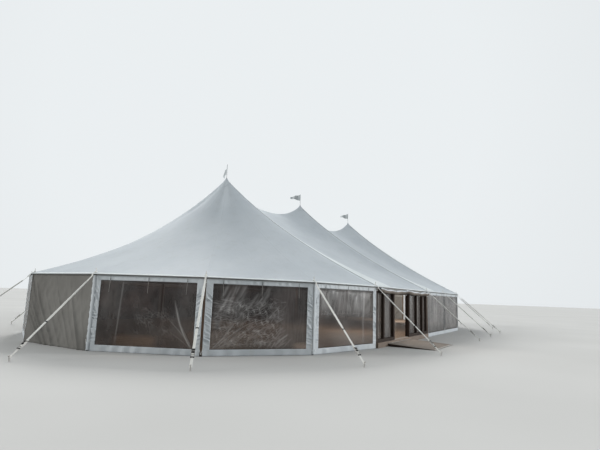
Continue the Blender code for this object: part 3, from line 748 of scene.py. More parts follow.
def make_collars():
    """A tight cone of cloth where the rod leaves each peak, with a cord round its neck."""
    for number, x in enumerate(KING_X, 1):
        collar = Shape()
        rows = []
        for i in range(19):
            radius = COLLAR_NECK + (COLLAR_REACH - COLLAR_NECK) * (i / 18) ** 1.7
            height = COLLAR_HEIGHT * math.exp(-(radius - COLLAR_NECK) / COLLAR_FALL) * (1 - (i / 18) ** 3)
            ring = []
            for j in range(40):
                angle = TAU * j / 40
                px, py = x + radius * math.cos(angle), radius * math.sin(angle)
                pleat = 0.003 * math.sin(9 * angle) * min(1.0, i / 6) * (1 - i / 18)
                ring.append((px, py, roof_z(px, py) + height + 0.002 + pleat))
            rows.append(ring)
        collar.grid(rows, wrap=True)
        neck_z = rows[1][0][2] - 0.01
        tie = [(x + 0.028 * math.cos(a), 0.028 * math.sin(a), neck_z) for a in np.linspace(0, TAU, 17)]
        collar.sweep(tie, circle(0.004, 8), mark=1)
        collar.piece(f"peak_collar_{number}", finishes["roof"], finishes["tape"], slot="roof_pvc", thickness=0.002)


def make_roof():
    make_roof_end(-1, "near_end", SIDES["near_end"])
    make_roof_middle("middle_near", KING_X[0])
    make_roof_middle("middle_far", KING_X[1])
    make_roof_end(1, "far_end", SIDES["far_end"])
    make_joint_laps()
    make_collars()


# Poles, rope and eave band


def make_kings():
    for number, x in enumerate(KING_X, 1):
        pole = Shape()
        top = PEAK_Z - 0.03
        neck = top - 0.17
        profile = [(0.03, KING_RADIUS), (neck, KING_RADIUS), (neck + 0.02, 0.035), (top, 0.012)]
        pole.turned((x, 0, 0), (0, 0, 1), profile, 32)
        for z in (0.0, neck - 0.09):
            pole.turned((x, 0, z), (0, 0, 1), [(0, 0.066), (0.09, 0.066)], 32, mark=1)
        made = pole.piece(f"king_pole_{number}_timber", finishes["pole"], finishes["steel"], slot="pole_timber")
        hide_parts(f"king_pole_{number}")


def make_side_poles():
    for side, indices in SIDES.items():
        poles = Shape()
        pins = Shape()
        for index in posts_of(side):
            place = corner(index)
            top = EAVE_Z - 0.035
            profile = [(0, 0.033), (0.004, SIDE_POLE_RADIUS), (top - 0.01, SIDE_POLE_RADIUS), (top, 0.03)]
            poles.turned((place.x, place.y, 0), (0, 0, 1), profile, 24)
            for low, tall in ((0.0, 0.03), (top - 0.07, 0.06)):
                pins.turned((place.x, place.y, low), (0, 0, 1), [(0, 0.037), (tall, 0.037)], 24, mark=1)
            pin = [(0, 0.009), (SPIKE_HEIGHT - 0.02 + 0.035, 0.009), (SPIKE_HEIGHT + 0.035, 0.004)]
            pins.turned((place.x, place.y, top), (0, 0, 1), pin, 12)
            lift = roof_z(place.x, place.y)
            pins.turned((place.x, place.y, lift + 0.002), (0, 0, 1), [(0, 0.03), (0.003, 0.028), (0.005, 0.02)], 20)
        made = poles.piece(f"side_poles_{side}_timber", finishes["pole"], slot="pole_timber")
        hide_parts(f"side_poles_{side}")
        pins.piece(f"side_pole_pins_{side}", finishes["steel"], finishes["dark_steel"], slot="stake_steel")
        rope = Shape()
        rope.sweep(wall_line(indices, ROPE_OFFSET, ROPE_Z), circle(ROPE_RADIUS, 10))
        rope.piece(f"wall_rope_{side}", finishes["webbing"], slot="webbing")


def wall_line(indices, offset, z, steps=8):
    """Points at one height along a side, between its first and last pole."""
    path = [offset_corner(index, offset) for index in indices]
    path[0] = corner(indices[0]) + outward(indices[0]) * offset
    path[-1] = corner(indices[-1]) + outward(indices[-1] - 1) * offset
    points = []
    for a, b in zip(path, path[1:]):
        points += [a.lerp(b, i / steps) for i in range(steps)]
    points.append(path[-1])
    return [(p.x, p.y, z) for p in points]


# Guys and stakes


def guy_frame(index):
    """Start and end of a guy, its direction, and its own up."""
    away = away_from(index).to_3d()
    place = corner(index).to_3d()
    start = place + away * BAND_OFFSET + Vector((0, 0, GUY_TOP_Z))
    end = place + away * GUY_SPREAD + Vector((0, 0, GUY_FOOT_Z))
    along = (end - start).normalized()
    side = Vector((-away.y, away.x, 0))
    return start, end, along, side, side.cross(along) * -1, away


def sleeve_sizes(steps, rng):
    """A padded sleeve's swell along its length, pinched in at both cuffs."""
    sizes = []
    for i in range(steps + 1):
        share = i / steps
        cuff = 1 - 0.35 * math.exp(-min(share, 1 - share) / 0.012)
        sizes.append(cuff * (1 + 0.05 * math.sin(TAU * (share * 9 + rng.random() * 0.15))))
    return sizes


def make_ratchet(shape, centre, along, side, up):
    """Two side plates, a drum with rolled strap, a handle and its grip."""
    axes = (along, side, up)
    shape.block(centre - up * 0.014, (0.3, 0.06, 0.005), axes, mark=2)
    for edge in (-1, 1):
        shape.block(centre + side * (edge * 0.036), (0.15, 0.003, 0.03), axes)
        shape.block(centre + side * (edge * 0.041) + up * 0.014 - along * 0.02, (0.13, 0.003, 0.022), axes)
    shape.turned(centre - side * 0.046 + along * 0.03, side, [(0, 0.011), (0.092, 0.011)], 16)
    shape.turned(centre - side * 0.03 + along * 0.03, side, [(0, 0.021), (0.06, 0.021)], 20, mark=2)
    shape.turned(centre - side * 0.04 - along * 0.062, side, [(0, 0.007), (0.08, 0.007)], 12)
    for distance, length in ((-0.088, 0.03), (-0.015, 0.016), (0.12, 0.024)):
        shape.block(centre + up * 0.012 + along * distance, (length, 0.082, 0.022), axes, mark=1)


def make_guys():
    rng = random.Random(7)
    for side_name, indices in SIDES.items():
        straps, sleeves, fittings, stakes = Shape(), Shape(), Shape(), Shape()
        for index in posts_of(side_name):
            start, end, along, side, up, away = guy_frame(index)
            place = corner(index).to_3d()

            def at(share):
                return start.lerp(end, share)

            eye = place + Vector((0, 0, roof_z(place.x, place.y) + 0.009))
            lip = place + away * (ROOF_OVERHANG * 0.9)
            lip.z = roof_z(lip.x, lip.y) + 0.006
            turn_down = place + away * (ROOF_OVERHANG + 0.02) + Vector((0, 0, EAVE_Z - 0.055))
            loop = [eye - away * 0.03, eye, lip, turn_down, at(0.02), at(0.05), at(SLEEVE_START + 0.02)]
            straps.sweep(loop, ribbon(0.05, 0.005), up=up)
            straps.sweep([at(SLEEVE_END - 0.01), at(RATCHET_START + 0.01)], ribbon(0.06, 0.022), up=up)
            straps.sweep([at(RATCHET_END - 0.01), at(0.99)], ribbon(0.056, 0.022), up=up)
            straps.turned(eye - Vector((0, 0, 0.012)), (0, 0, 1), [(0, 0.034), (0.012, 0.04), (0.03, 0.03), (0.036, 0.016)], 12)
            path = [at(SLEEVE_START + (SLEEVE_END - SLEEVE_START) * i / 60) for i in range(61)]
            sleeves.sweep(path, circle(0.03, 14, 0.6), up=up, sizes=sleeve_sizes(60, rng))
            fittings.turned(at(SLEEVE_START) - side * 0.032, side, [(0, 0.006), (0.064, 0.006)], 12)
            fittings.block(at(0.615), (0.03, 0.07, 0.03), (along, side, up), mark=1)
            make_ratchet(fittings, at((RATCHET_START + RATCHET_END) / 2), along, side, up)
            lean = Vector((away.x * STAKE_LEAN, away.y * STAKE_LEAN, STAKE_HEIGHT))
            foot = place + away * (GUY_SPREAD - GUY_FOOT_Z * STAKE_LEAN / STAKE_HEIGHT)
            tall = lean.length
            profile = [(0, STAKE_RADIUS), (tall - 0.02, STAKE_RADIUS), (tall - 0.018, 0.024), (tall - 0.003, 0.024), (tall, 0.019)]
            stakes.turned(foot, lean, profile, 16)
            ring = [at(0.985) + away * (0.025 * math.cos(a) + 0.02) + side * (0.027 * math.sin(a)) for a in np.linspace(0, TAU, 17)]
            straps.sweep(ring, upright(0.045, 0.004))
        replaced = straps.piece(f"guy_straps_{side_name}", finishes["webbing"], slot="webbing", sharp=math.radians(60))
        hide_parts(f"guys_{side_name}")
        made = sleeves.piece(f"guy_sleeves_{side_name}", finishes["webbing"], slot="webbing", sharp=math.radians(70))
        parts = (finishes["steel"], finishes["dark_steel"], finishes["webbing"])
        fittings.piece(f"guy_fittings_{side_name}", *parts, slot="stake_steel", bevel=0.0015)
        stakes.piece(f"stakes_{side_name}", finishes["steel"], slot="stake_steel")
        # The dark eave band paints the shadow line under the roof's edge.
        band = Shape()
        band.sweep(wall_line(indices, BAND_OFFSET, BAND_Z), upright(0.6 * BAND_HEIGHT, 0.005))
        band.piece(f"eave_shadow_band_{side_name}", finishes["band"], slot="dark_webbing")


# Creases and folds, as depths over a wall's own length and height


def smooth(value):
    value = np.clip(value, 0, 1)
    return value * value * (3 - 2 * value)


def box_mask(value, low, high, soft):
    """1 between two values, fading to 0 at them."""
    return smooth((value - low) / soft) * smooth((high - value) / soft)


def waves(u, z, rng, count, length, heading, spread):
    """Soft crossing waves, about one unit high."""
    total = np.zeros_like(u)
    for _ in range(count):
        angle = math.radians(heading + rng.uniform(-spread, spread))
        phase = rng.uniform(0, TAU)
        size = length * rng.uniform(0.7, 1.5)
        total += np.sin(TAU * (u * math.cos(angle) + z * math.sin(angle)) / size + phase)
    return total / math.sqrt(count)


def strands(across, along, rng, pitch, stretch, sharp):
    """Crisp ridges 0 to 1 high that run along one coordinate, wander, meet and part."""
    total = np.zeros_like(across)
    for _ in range(7):
        step = TAU / (pitch * rng.uniform(0.75, 1.7))
        slant = TAU / (pitch * stretch * rng.uniform(0.7, 1.6)) * rng.choice((-1, 1))
        total += np.sin(across * step + along * slant + rng.uniform(0, TAU))
    return 1 / (1 + (sharp * total) ** 2)


def patches(u, z, rng, size):
    """A soft mask from 0 to 1 that breaks ridges up."""
    return smooth(0.5 + 0.55 * waves(u, z, rng, 6, size, 45, 90))


# Walls


CREASE_STEP = 0.0135
NEAR_WINDOWS = (0, 1, 2)
OPEN_CORNERS = (0, 2, 4, COUNT - 3, COUNT - 2, COUNT - 1)
CANVAS_FOLDS = (
    (0.6, 0.4), (1.08, 1.0), (1.45, 0.35), (1.8, 0.5), (2.15, 0.4), (2.5, 0.65),
    (2.9, 1.0), (3.2, 0.5), (3.45, 0.85), (3.75, 0.6), (4.0, 0.8), (4.3, 0.6),
)
MIRRORED_BAYS = (4, 7, 9, 12, 15, 19)
LOW_U, HIGH_U = WALL_END_GAP, BAY - WALL_END_GAP
HOLE_LOW_U, HOLE_HIGH_U = LOW_U + BORDER_SIDE, HIGH_U - BORDER_SIDE


def place_on(bay, u, depth, z):
    """World points from places along a bay, out from its line, and up."""
    start, along, out = corner(bay), along_bay(bay), outward(bay)
    x = start.x + along.x * u + out.x * depth
    y = start.y + along.y * u + out.y * depth
    return np.stack(np.broadcast_arrays(x, y, z), axis=-1)


def steps_between(*stops):
    """Places from the first stop to the last, with a count of steps between each two."""
    values = [stops[0]]
    for count, end in zip(stops[1::2], stops[2::2]):
        values += list(np.linspace(values[-1], end, count + 1)[1:])
    return np.array(values)


def rows_of(points):
    return [[tuple(point) for point in row] for row in points]


def border_depth(u, z, rng):
    """Ruched side borders, softly gathered top and bottom, and flat along the window's edge."""
    left = np.clip((u - LOW_U) / BORDER_SIDE, 0, 1)
    right = np.clip((HIGH_U - u) / BORDER_SIDE, 0, 1)
    total = np.zeros_like(u)
    for share, lean in ((left, rng.choice((-1, 1)) * 0.9), (right, rng.choice((-1, 1)) * 0.9)):
        inside = smooth(share / 0.2) * smooth((1 - share) / 0.2)
        drift = 2.2 * np.sin(TAU * z / 0.83 + rng.uniform(0, TAU)) + 1.5 * np.sin(TAU * z / 0.31 + rng.uniform(0, TAU))
        drift = drift + 1.1 * np.sin(TAU * z / 0.19 + 2.5 * share + rng.uniform(0, TAU))
        turn = TAU * (z + lean * (0.03 + 0.08 * z) * share) / 0.11 + drift
        fold = 0.6 * (1 - 2 * np.abs(np.sin(turn / 2)) ** 0.8) + 0.4 * np.sin(0.61 * turn + 2 * share + rng.uniform(0, TAU))
        swell = 0.65 + 0.35 * np.sin(TAU * z / 0.53 + rng.uniform(0, TAU))
        total += 0.03 * inside * swell * box_mask(z, 0.12, 1.9, 0.35) * fold
    top = smooth((z - BORDER_TOP_Z) / 0.05) * smooth((WALL_TOP_Z - z) / 0.03)
    total += 0.006 * top * waves(u, 0 * z, rng, 5, 0.16, 0, 0)
    bottom = smooth((BORDER_BOTTOM_Z - z) / 0.05)
    total += 0.010 * bottom * waves(u, z, rng, 5, 0.35, 8, 14)
    return WALL_FACE + total


def hem_tubes(shape, bay, depth, radius=0.006):
    """Rolled hems round a wall's outside."""
    for ends in (
        ((LOW_U, HEM_Z), (HIGH_U, HEM_Z)),
        ((LOW_U, WALL_TOP_Z), (HIGH_U, WALL_TOP_Z)),
        ((LOW_U, HEM_Z), (LOW_U, WALL_TOP_Z)),
        ((HIGH_U, HEM_Z), (HIGH_U, WALL_TOP_Z)),
    ):
        u = np.linspace(ends[0][0], ends[1][0], 60)
        z = np.linspace(ends[0][1], ends[1][1], 60)
        path = place_on(bay, u, depth(u, z), z)
        shape.sweep(path, circle(radius, 8), up=outward(bay).to_3d())


def rays(v, z, corner_v, lines):
    """Long creases out of a low corner, from (degrees, strength, length, width) each."""
    reach = np.hypot(v - corner_v, z - 0.1)
    angle = np.degrees(np.arctan2(z - 0.1, np.abs(v - corner_v)))
    total = np.zeros_like(v)
    for degrees, strength, length, width in lines:
        off = np.radians(angle - degrees - 5 * np.sin(reach * 2.2 + degrees)) * reach
        total = np.maximum(total, strength * np.exp(-((off / width) ** 2)) * smooth((length - reach) / 0.5))
    return total * smooth(reach / 0.2)


def strewn(v, z, rng, count, region, heading, spread, length, width):
    """Separate short creases over a region, in about one direction."""
    total = np.zeros_like(v)
    for _ in range(count):
        middle_v, middle_z = rng.uniform(*region[:2]), rng.uniform(*region[2:])
        turn = math.radians(rng.gauss(heading, spread))
        half = length * rng.uniform(0.3, 0.7)
        along = (v - middle_v) * math.cos(turn) + (z - middle_z) * math.sin(turn)
        across = (z - middle_z) * math.cos(turn) - (v - middle_v) * math.sin(turn) + rng.uniform(-0.25, 0.25) * along**2
        line = np.exp(-((across / (width * rng.uniform(0.7, 1.4))) ** 2)) * smooth((half - np.abs(along)) / (0.6 * half))
        total = np.maximum(total, rng.uniform(0.3, 1.0) * line)
    return total


def corner_fan(v, z, rng):
    """Dense creases out of the lower left corner, bands from the top and a calm right part."""
    long_ones = rays(v, z, 0.15, ((14, 0.5, 2.2, 0.012), (24, 0.8, 1.7, 0.011), (31, 0.6, 2.4, 0.014), (43, 1.0, 1.3, 0.012)))
    top = strewn(v, z, rng, 22, (0.5, 1.8, 1.3, 1.8), 66, 5, 0.9, 0.035)
    fine = strewn(v, z, rng, 90, (0.25, 2.15, 0.25, 1.45), 34, 16, 0.34, 0.013)
    cross = strewn(v, z, rng, 50, (0.5, 2.1, 0.4, 1.5), -15, 25, 0.2, 0.013)
    slope = math.radians(34)
    across = z * math.cos(slope) - v * math.sin(slope) + 0.05 * np.sin(TAU * (v + 0.4 * z) / 0.9)
    along = v * math.cos(slope) + z * math.sin(slope)
    worn = box_mask(v, 0.1, 2.25, 0.35) * box_mask(z, 0.1, 1.55, 0.3)
    relief = worn * strands(across, along, rng, 0.085, 3.2, 1.4) * (0.35 + 0.65 * patches(v, z, rng, 0.3))
    low = strewn(v, z, rng, 30, (0.5, 2.3, 0.2, 0.7), 42, 8, 0.5, 0.016)
    side = strewn(v, z, rng, 22, (0.2, 0.75, 0.7, 1.45), -4, 9, 0.4, 0.016)
    right = strands(v, z, rng, 0.13, 14.0, 1.2) * smooth((v - 1.9) / 0.4)
    depth = 0.008 * long_ones + 0.012 * top + 0.006 * fine + 0.004 * cross + 0.008 * low + 0.007 * side + 0.001 * right
    depth = depth + 0.005 * relief
    creases = np.maximum.reduce([0.5 * long_ones, 0.34 * fine, 0.2 * cross, 0.42 * low, 0.4 * side, 0.6 * relief])
    pale = creases + 0.26 * top + 0.05 * right
    return depth * smooth((1.84 - z) / 0.2), pale + 0.06 * smooth((v - 1.7) / 0.6)


def top_streaks(v, z, rng):
    """Streaks that hang from the top edge, with a hazy right part and a fold line half way down."""
    lean = v - 0.16 * (z - 1.85)
    hang = strands(lean, z, rng, 0.09, 14.0, 1.0)
    wide = strands(lean, z, rng, 0.3, 8.0, 0.7)
    upper = 0.15 + 0.85 * smooth((z - 0.85) / 0.5)
    fold = np.exp(-(((z - 1.12) / 0.018) ** 2)) * smooth((2.3 - v) / 0.3)
    hazy = box_mask(v, 1.75, 2.75, 0.35) * smooth((z - 0.75) / 0.6) * (0.6 + 0.4 * strands(v, z, rng, 0.2, 4.0, 0.6))
    post = np.exp(-(((v - 2.32) / 0.05) ** 2))
    broken = 0.4 + 0.6 * patches(v, z, rng, 0.5)
    depth = (0.006 * hang * broken + 0.010 * wide) * upper * smooth((1.84 - z) / 0.3) + 0.002 * fold
    pale = (0.25 * hang * broken + 0.2 * wide) * upper + 0.08 * fold + 0.2 * hazy + 0.24 * post
    return depth, (pale + 0.08 * smooth((z - 1.1) / 0.2)) * (1 - 0.8 * smooth((v - 2.66) / 0.08))


def calm_corner(v, z, rng):
    """Mostly smooth, with a long fold out of the lower right corner."""
    fan = rays(v, z, 2.85, ((61, 1.0, 1.5, 0.022), (66, 0.6, 1.1, 0.012), (52, 0.35, 1.2, 0.014), (40, 0.25, 0.9, 0.012)))
    small = strands(z * 0.8 + v * 0.6, v - z, rng, 0.12, 3.0, 1.6) * patches(v, z, rng, 0.45)
    small = small * box_mask(v, 0.9, 2.5, 0.5) * box_mask(z, 0.3, 1.35, 0.4)
    upright_line = np.exp(-(((v - 0.72 - 0.06 * z) / 0.018) ** 2))
    return 0.018 * fan + 0.006 * small, 0.5 * fan + 0.2 * small + 0.24 * upright_line


def veil(v, z, rng):
    """Milky all over, with long upright streaks."""
    hang = strands(v - 0.05 * z, z, rng, 0.12, 18.0, 0.9)
    wide = strands(v, z, rng, 0.4, 9.0, 0.6)
    depth = (0.004 * hang + 0.008 * wide) * smooth((1.84 - z) / 0.3)
    return depth, 0.02 + 0.18 * hang + 0.18 * wide


# Each style returns a depth and a paleness; the paleness is partly whitening at creases and partly painted highlight.
WINDOW_STYLES = (top_streaks, corner_fan, calm_corner, veil)
# Least opacity of each style's near-black sheet, which paints the shade of the dim inside.
WINDOW_COVERS = (0.7, 0.9, 0.89, 0.86)
# Where that painted shade thins so the inside floor shows: (start, end, top) along and up each window.
FLOOR_VIEWS = ((0.0, 0.0, 0.0), (2.35, 3.2, 0.4), (0.55, 1.95, 0.52), (0.0, 0.0, 0.0))
VEILED_BAYS = (COUNT - 4, COUNT - 3)


def style_of(bay):
    return 3 if bay in VEILED_BAYS else bay % 3


def window_form(bay, us, zs):
    """Depth over a clear window and how pale its creases are, partly whitening and partly painted highlight, both still
    at its edges.
    """
    u, z = np.meshgrid(us, zs)
    rng = random.Random(300 + bay)
    v = u if bay in MIRRORED_BAYS else BAY - u
    depth, pale = WINDOW_STYLES[style_of(bay)](v, z, rng)
    depth = depth + 0.003 * waves(u, z, rng, 6, 0.5, 20, 80)
    edge = np.minimum(np.minimum(u - HOLE_LOW_U, HOLE_HIGH_U - u), np.minimum(z - BORDER_BOTTOM_Z, BORDER_TOP_Z - z))
    inside = smooth(edge / 0.11)
    return u, z, WALL_FACE - 0.004 + inside * (depth - depth.mean() * 0.5), np.clip(pale, 0, 1) * (0.25 + 0.75 * inside)


def make_window_wall(bay, name):
    coarse = 1 if bay in NEAR_WINDOWS else 2
    us = steps_between(LOW_U, 10, HOLE_LOW_U, 88 // coarse, HOLE_HIGH_U, 10, HIGH_U)
    zs = steps_between(HEM_Z, 8, BORDER_BOTTOM_Z, 150 // coarse, BORDER_TOP_Z, 6, WALL_TOP_Z)
    u, z = np.meshgrid(us, zs)
    depth = border_depth(u, z, random.Random(200 + bay))
    border = Shape()
    points = place_on(bay, u, depth, z)
    middle_u = (us[:-1] + us[1:]) / 2
    middle_z = (zs[:-1] + zs[1:]) / 2
    count = len(us)
    used, faces = {}, []
    for j, mz in enumerate(middle_z):
        for i, mu in enumerate(middle_u):
            if HOLE_LOW_U < mu < HOLE_HIGH_U and BORDER_BOTTOM_Z < mz < BORDER_TOP_Z:
                continue
            keys = [j * count + i, j * count + i + 1, (j + 1) * count + i + 1, (j + 1) * count + i]
            faces.append(tuple(used.setdefault(key, len(used)) for key in keys))
    flat_points = points.reshape(-1, 3)
    border.add([flat_points[key] for key in used], faces)
    finish = finishes["veiled_wall" if bay in VEILED_BAYS else "wall"]
    wall = border.piece(f"{name}_border", finish, slot="wall_pvc", thickness=0.0015, sharp=math.radians(80))
    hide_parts(name)
    hems = Shape()
    hem_tubes(hems, bay, lambda a, b: border_depth(a, b, random.Random(200 + bay)))
    hems.piece(f"{name}_hems", finish, slot="wall_pvc")
    others = [f"{name}_hems", *make_flap(bay, name)]


def side_of(bay):
    for side, indices in SIDES.items():
        if indices[0] <= bay < indices[-1]:
            return side
    raise ValueError(bay)


def make_flap(bay, name):
    """The strip that laps from a wall's end over the pole to the next wall."""
    if (bay + 1) % COUNT in OPEN_CORNERS:
        return []
    key, slot = ("canvas", "wall_canvas") if bay in PLAIN_BAYS else ("wall", "wall_pvc")
    flap = Shape()
    rows = []
    turn = offset_corner(bay + 1, WALL_FACE + 0.012)
    for z in np.linspace(HEM_Z + 0.005, WALL_TOP_Z - 0.012, 70):
        wave = 0.003 * math.sin(z * 31 + bay) + 0.002 * math.sin(z * 71)
        row = [place_on(bay, HIGH_U - 0.03, WALL_FACE + 0.007, z), place_on(bay, HIGH_U + 0.008, WALL_FACE + 0.011 + wave, z)]
        row.append((turn.x, turn.y, z))
        row.append(place_on(bay + 1, LOW_U - 0.013 + wave, WALL_FACE + 0.008 + wave, z))
        rows.append([tuple(point) for point in row])
    flap.grid(rows)
    flap.piece(f"{name}_flap", finishes[key], slot=slot, thickness=0.0015, sharp=math.radians(80))
    return [f"{name}_flap"]


def make_clear_window(bay, name, node):
    step = CREASE_STEP if bay in NEAR_WINDOWS else 2.4 * CREASE_STEP
    us = np.linspace(HOLE_LOW_U - 0.01, HOLE_HIGH_U + 0.01, int((HOLE_HIGH_U - HOLE_LOW_U) / step))
    zs = np.linspace(BORDER_BOTTOM_Z - 0.01, BORDER_TOP_Z + 0.01, int((BORDER_TOP_Z - BORDER_BOTTOM_Z) / step))
    u, z, depths, pale = window_form(bay, us, zs)
    sheet = Shape()
    sheet.grid(rows_of(place_on(bay, u, depths, z)))
    key = "clear" if side_of(bay) in ("near_end", "front") and bay not in (4, 5, 6) else "dull_clear"
    made = sheet.piece(f"{name}_clear", finishes[key], slot="clear_pvc", sharp=math.radians(120))
    # Cover: how much of the inside the painted shade hides, less over the floor views.
    cover = np.full_like(pale, WINDOW_COVERS[style_of(bay)])
    v = u if bay in MIRRORED_BAYS else BAY - u
    low, high, top = FLOOR_VIEWS[style_of(bay)]
    cover = cover - 0.46 * box_mask(v, low, high, 0.3) * smooth((top - z) / 0.16)
    for label, values in (("crease_whitening_and_highlight", pale), ("cover", cover)):
        attribute = made.data.attributes.new(label, "FLOAT", "POINT")
        attribute.data.foreach_set("value", values.astype(np.float32).ravel())
    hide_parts(node)


def make_plain_wall(bay, node):
    coarse = 1 if side_of(bay) == "near_end" else 2
    us = np.linspace(LOW_U, HIGH_U, 190 // coarse)
    zs = np.linspace(HEM_Z, WALL_TOP_Z, 100 // coarse)

    def depth(u, z):
        draw = random.Random(400 + bay)
        down = (WALL_TOP_Z - z) / WALL_TOP_Z
        total = np.zeros_like(u)
        for place, strength in CANVAS_FOLDS:
            lean = draw.uniform(0.9, 1.05) * (0.33 + 0.41 * place)
            centre = place - lean * down**1.08 + 0.02 * np.sin(TAU * down * draw.uniform(0.6, 1.4) + draw.uniform(0, TAU))
            width = draw.uniform(0.05, 0.08) * (0.7 + 0.8 * down)
            off = (u - centre) / width
            fold = np.where(off > 0, np.exp(-np.abs(off) ** 1.1), np.exp(-np.abs(off) ** 1.3 * 1.9))
            total += 0.07 * strength * smooth((down + 0.03) / draw.uniform(0.5, 0.85)) * fold
        total += 0.003 * waves(u, z, draw, 5, 0.25, 20, 25)
        edge = smooth(np.minimum(u - LOW_U, HIGH_U - u) / 0.06)
        flare = 0.03 * smooth((down - 0.5) / 0.5) * smooth((u - 2.2) / 0.8)
        return WALL_FACE + 0.002 + total * (0.2 + 0.8 * edge) + flare

    u, z = np.meshgrid(us, zs)
    wall = Shape()
    wall.grid(rows_of(place_on(bay, u, depth(u, z), z)))
    made = wall.piece(f"{node}_canvas", finishes["canvas"], slot="wall_canvas", thickness=0.0015, sharp=math.radians(80))
    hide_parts(node)
    hems = Shape()
    hem_tubes(hems, bay, depth, 0.008)
    hems.piece(f"{node}_hems", finishes["canvas"], slot="wall_canvas")
    others = [f"{node}_hems", *make_flap(bay, node)]


def make_wall_ties():
    """Dark toggles through the top borders, tapes that hang in the windows and ties from the walls to the poles' feet."""
    for side, indices in SIDES.items():
        toggles, tapes, ties = Shape(), Shape(), Shape()
        for bay in indices[:-1]:
            if bay in DOOR_BAYS:
                continue
            out, along = outward(bay).to_3d(), along_bay(bay).to_3d()
            for u, index in ((LOW_U + 0.02, bay), (HIGH_U - 0.02, bay + 1)):
                if index % COUNT not in (0, DOOR_CORNER - 1):
                    foot = offset_corner(index, SIDE_POLE_RADIUS + 0.006)
                    path = [place_on(bay, u, WALL_FACE + 0.01, 0.3), place_on(bay, u, WALL_FACE + 0.008, 0.24), (foot.x, foot.y, 0.045)]
                    ties.sweep(path, ribbon(0.014, 0.003), up=out)
            if bay in PLAIN_BAYS:
                continue
            for share in (0.1, 0.5, 0.9):
                u = HOLE_LOW_U + share * (HOLE_HIGH_U - HOLE_LOW_U)
                top = place_on(bay, u, WALL_FACE + 0.012, 1.905)
                toggles.block(top, (0.008, 0.008, 0.09), (along, out, (0, 0, 1)))
                toggles.turned(Vector(top) - Vector((0, 0, 0.045)), (0, 0, 1), [(0, 0.008), (0.02, 0.008)], 12)
                lean = random.Random(bay * 7 + int(share * 10)).uniform(-0.02, 0.02)
                hang = [place_on(bay, u + lean * i / 8, WALL_FACE + 0.014, 1.87 - 0.33 * i / 8) for i in range(9)]
                tapes.sweep(hang, ribbon(0.008, 0.002), up=out)
        if toggles.points:
            toggles.piece(f"wall_toggles_{side}", finishes["dark_steel"], slot="black_fittings", bevel=0.002)
            tapes.piece(f"wall_tapes_{side}", finishes["tape"], slot="webbing")
            ties.piece(f"wall_ties_{side}", finishes["webbing"], slot="webbing")


CLEAR_NODES = (
    (range(0, 3), "near_end_front_clear"),
    (range(4, 7), "near_end_back_clear"),
    (range(7, 11), "back_clear"),
    (range(11, 14), "far_end_back_clear"),
    (range(15, 18), "far_end_front_clear"),
    (range(18, 20), "front_clear"),
)


def make_walls():
    for side, indices in SIDES.items():
        number = 0
        for bay in indices[:-1]:
            if bay in DOOR_BAYS:
                continue
            if bay in PLAIN_BAYS:
                make_plain_wall(bay, f"{side}_plain_wall")
                continue
            number += 1
            name = f"{side}_window_wall_{number}"
            make_window_wall(bay, name)
            node = next(node for bays, node in CLEAR_NODES if bay in bays)
            make_clear_window(bay, name, node)
    make_wall_ties()


# Entrance


def paint(node, key):
    """Give a CAD node one finish all over."""
    obj = nodes[node]
    obj.data.materials.clear()
    obj.data.materials.append(finishes[key])


CURTAIN_LENGTH = 1.97
CURTAIN_CORE = 0.02
CURTAIN_LIFT = 0.03


def make_curtains():
    """Walls rolled up under the eave, as spirals of cloth with straps round them."""
    for number in (1, 2):
        low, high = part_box(f"rolled_curtain_{number}")
        radius = (high.z - low.z) / 2
        centre_y, centre_z = (low.y + high.y) / 2, (low.z + high.z) / 2 + CURTAIN_LIFT
        turns = CURTAIN_LENGTH / (math.pi * (radius + CURTAIN_CORE))
        rng = random.Random(500 + number)
        phases = [rng.uniform(0, TAU) for _ in range(4)]
        rows = []
        columns = 46
        for i in range(columns + 1):
            share = i / columns
            x = low.x + (high.x - low.x) * share
            sag = 0.045 * math.sin(math.pi * share) + 0.01 * math.sin(TAU * 3 * share + phases[0])
            pinch = 1 - 0.12 * sum(math.exp(-(((share - place) / 0.025) ** 2)) for place in (0.08, 0.5, 0.92))
            row = []
            for j in range(int(turns * 20) + 1):
                turn = j / 20
                angle = TAU * turn
                spin = CURTAIN_CORE + (radius - CURTAIN_CORE) * turn / turns
                ruck = 1 + 0.05 * math.sin(5 * angle / turns + 14 * share + phases[1]) + 0.03 * math.sin(2 * angle + 9 * share)
                size = spin * pinch * ruck
                edge_x = x + (0.012 * math.sin(angle * 0.7 + phases[2]) if i in (0, columns) else 0)
                row.append((edge_x, centre_y + size * math.sin(angle), centre_z - sag + size * math.cos(angle)))
            rows.append(row)
        roll = Shape()
        roll.grid(rows)
        # The lower part of every turn takes the brown-grey cloth, as painted shade under the roll.
        roll.marks = [int(math.cos(TAU * (k % (len(rows[0]) - 1) + 0.5) / 20) < 0.3) for k in range(len(roll.faces))]
        parts = (finishes["wall"], finishes["roll_underside_painted_shade"])
        made = roll.piece(f"curtain_roll_{number}", *parts, slot="wall_pvc", sharp=math.radians(80))
        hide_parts(f"rolled_curtain_{number}")
        straps = Shape()
        for share in (0.08, 0.5, 0.92):
            x = low.x + (high.x - low.x) * share
            around = [
                (x, centre_y + radius * 0.93 * math.sin(a), centre_z - 0.015 + radius * 0.93 * math.cos(a))
                for a in np.linspace(0, TAU, 25)
            ]
            straps.sweep(around, upright(0.025, 0.003), up=(1, 0, 0))
        straps.piece(f"curtain_straps_{number}", finishes["band"], slot="dark_webbing")


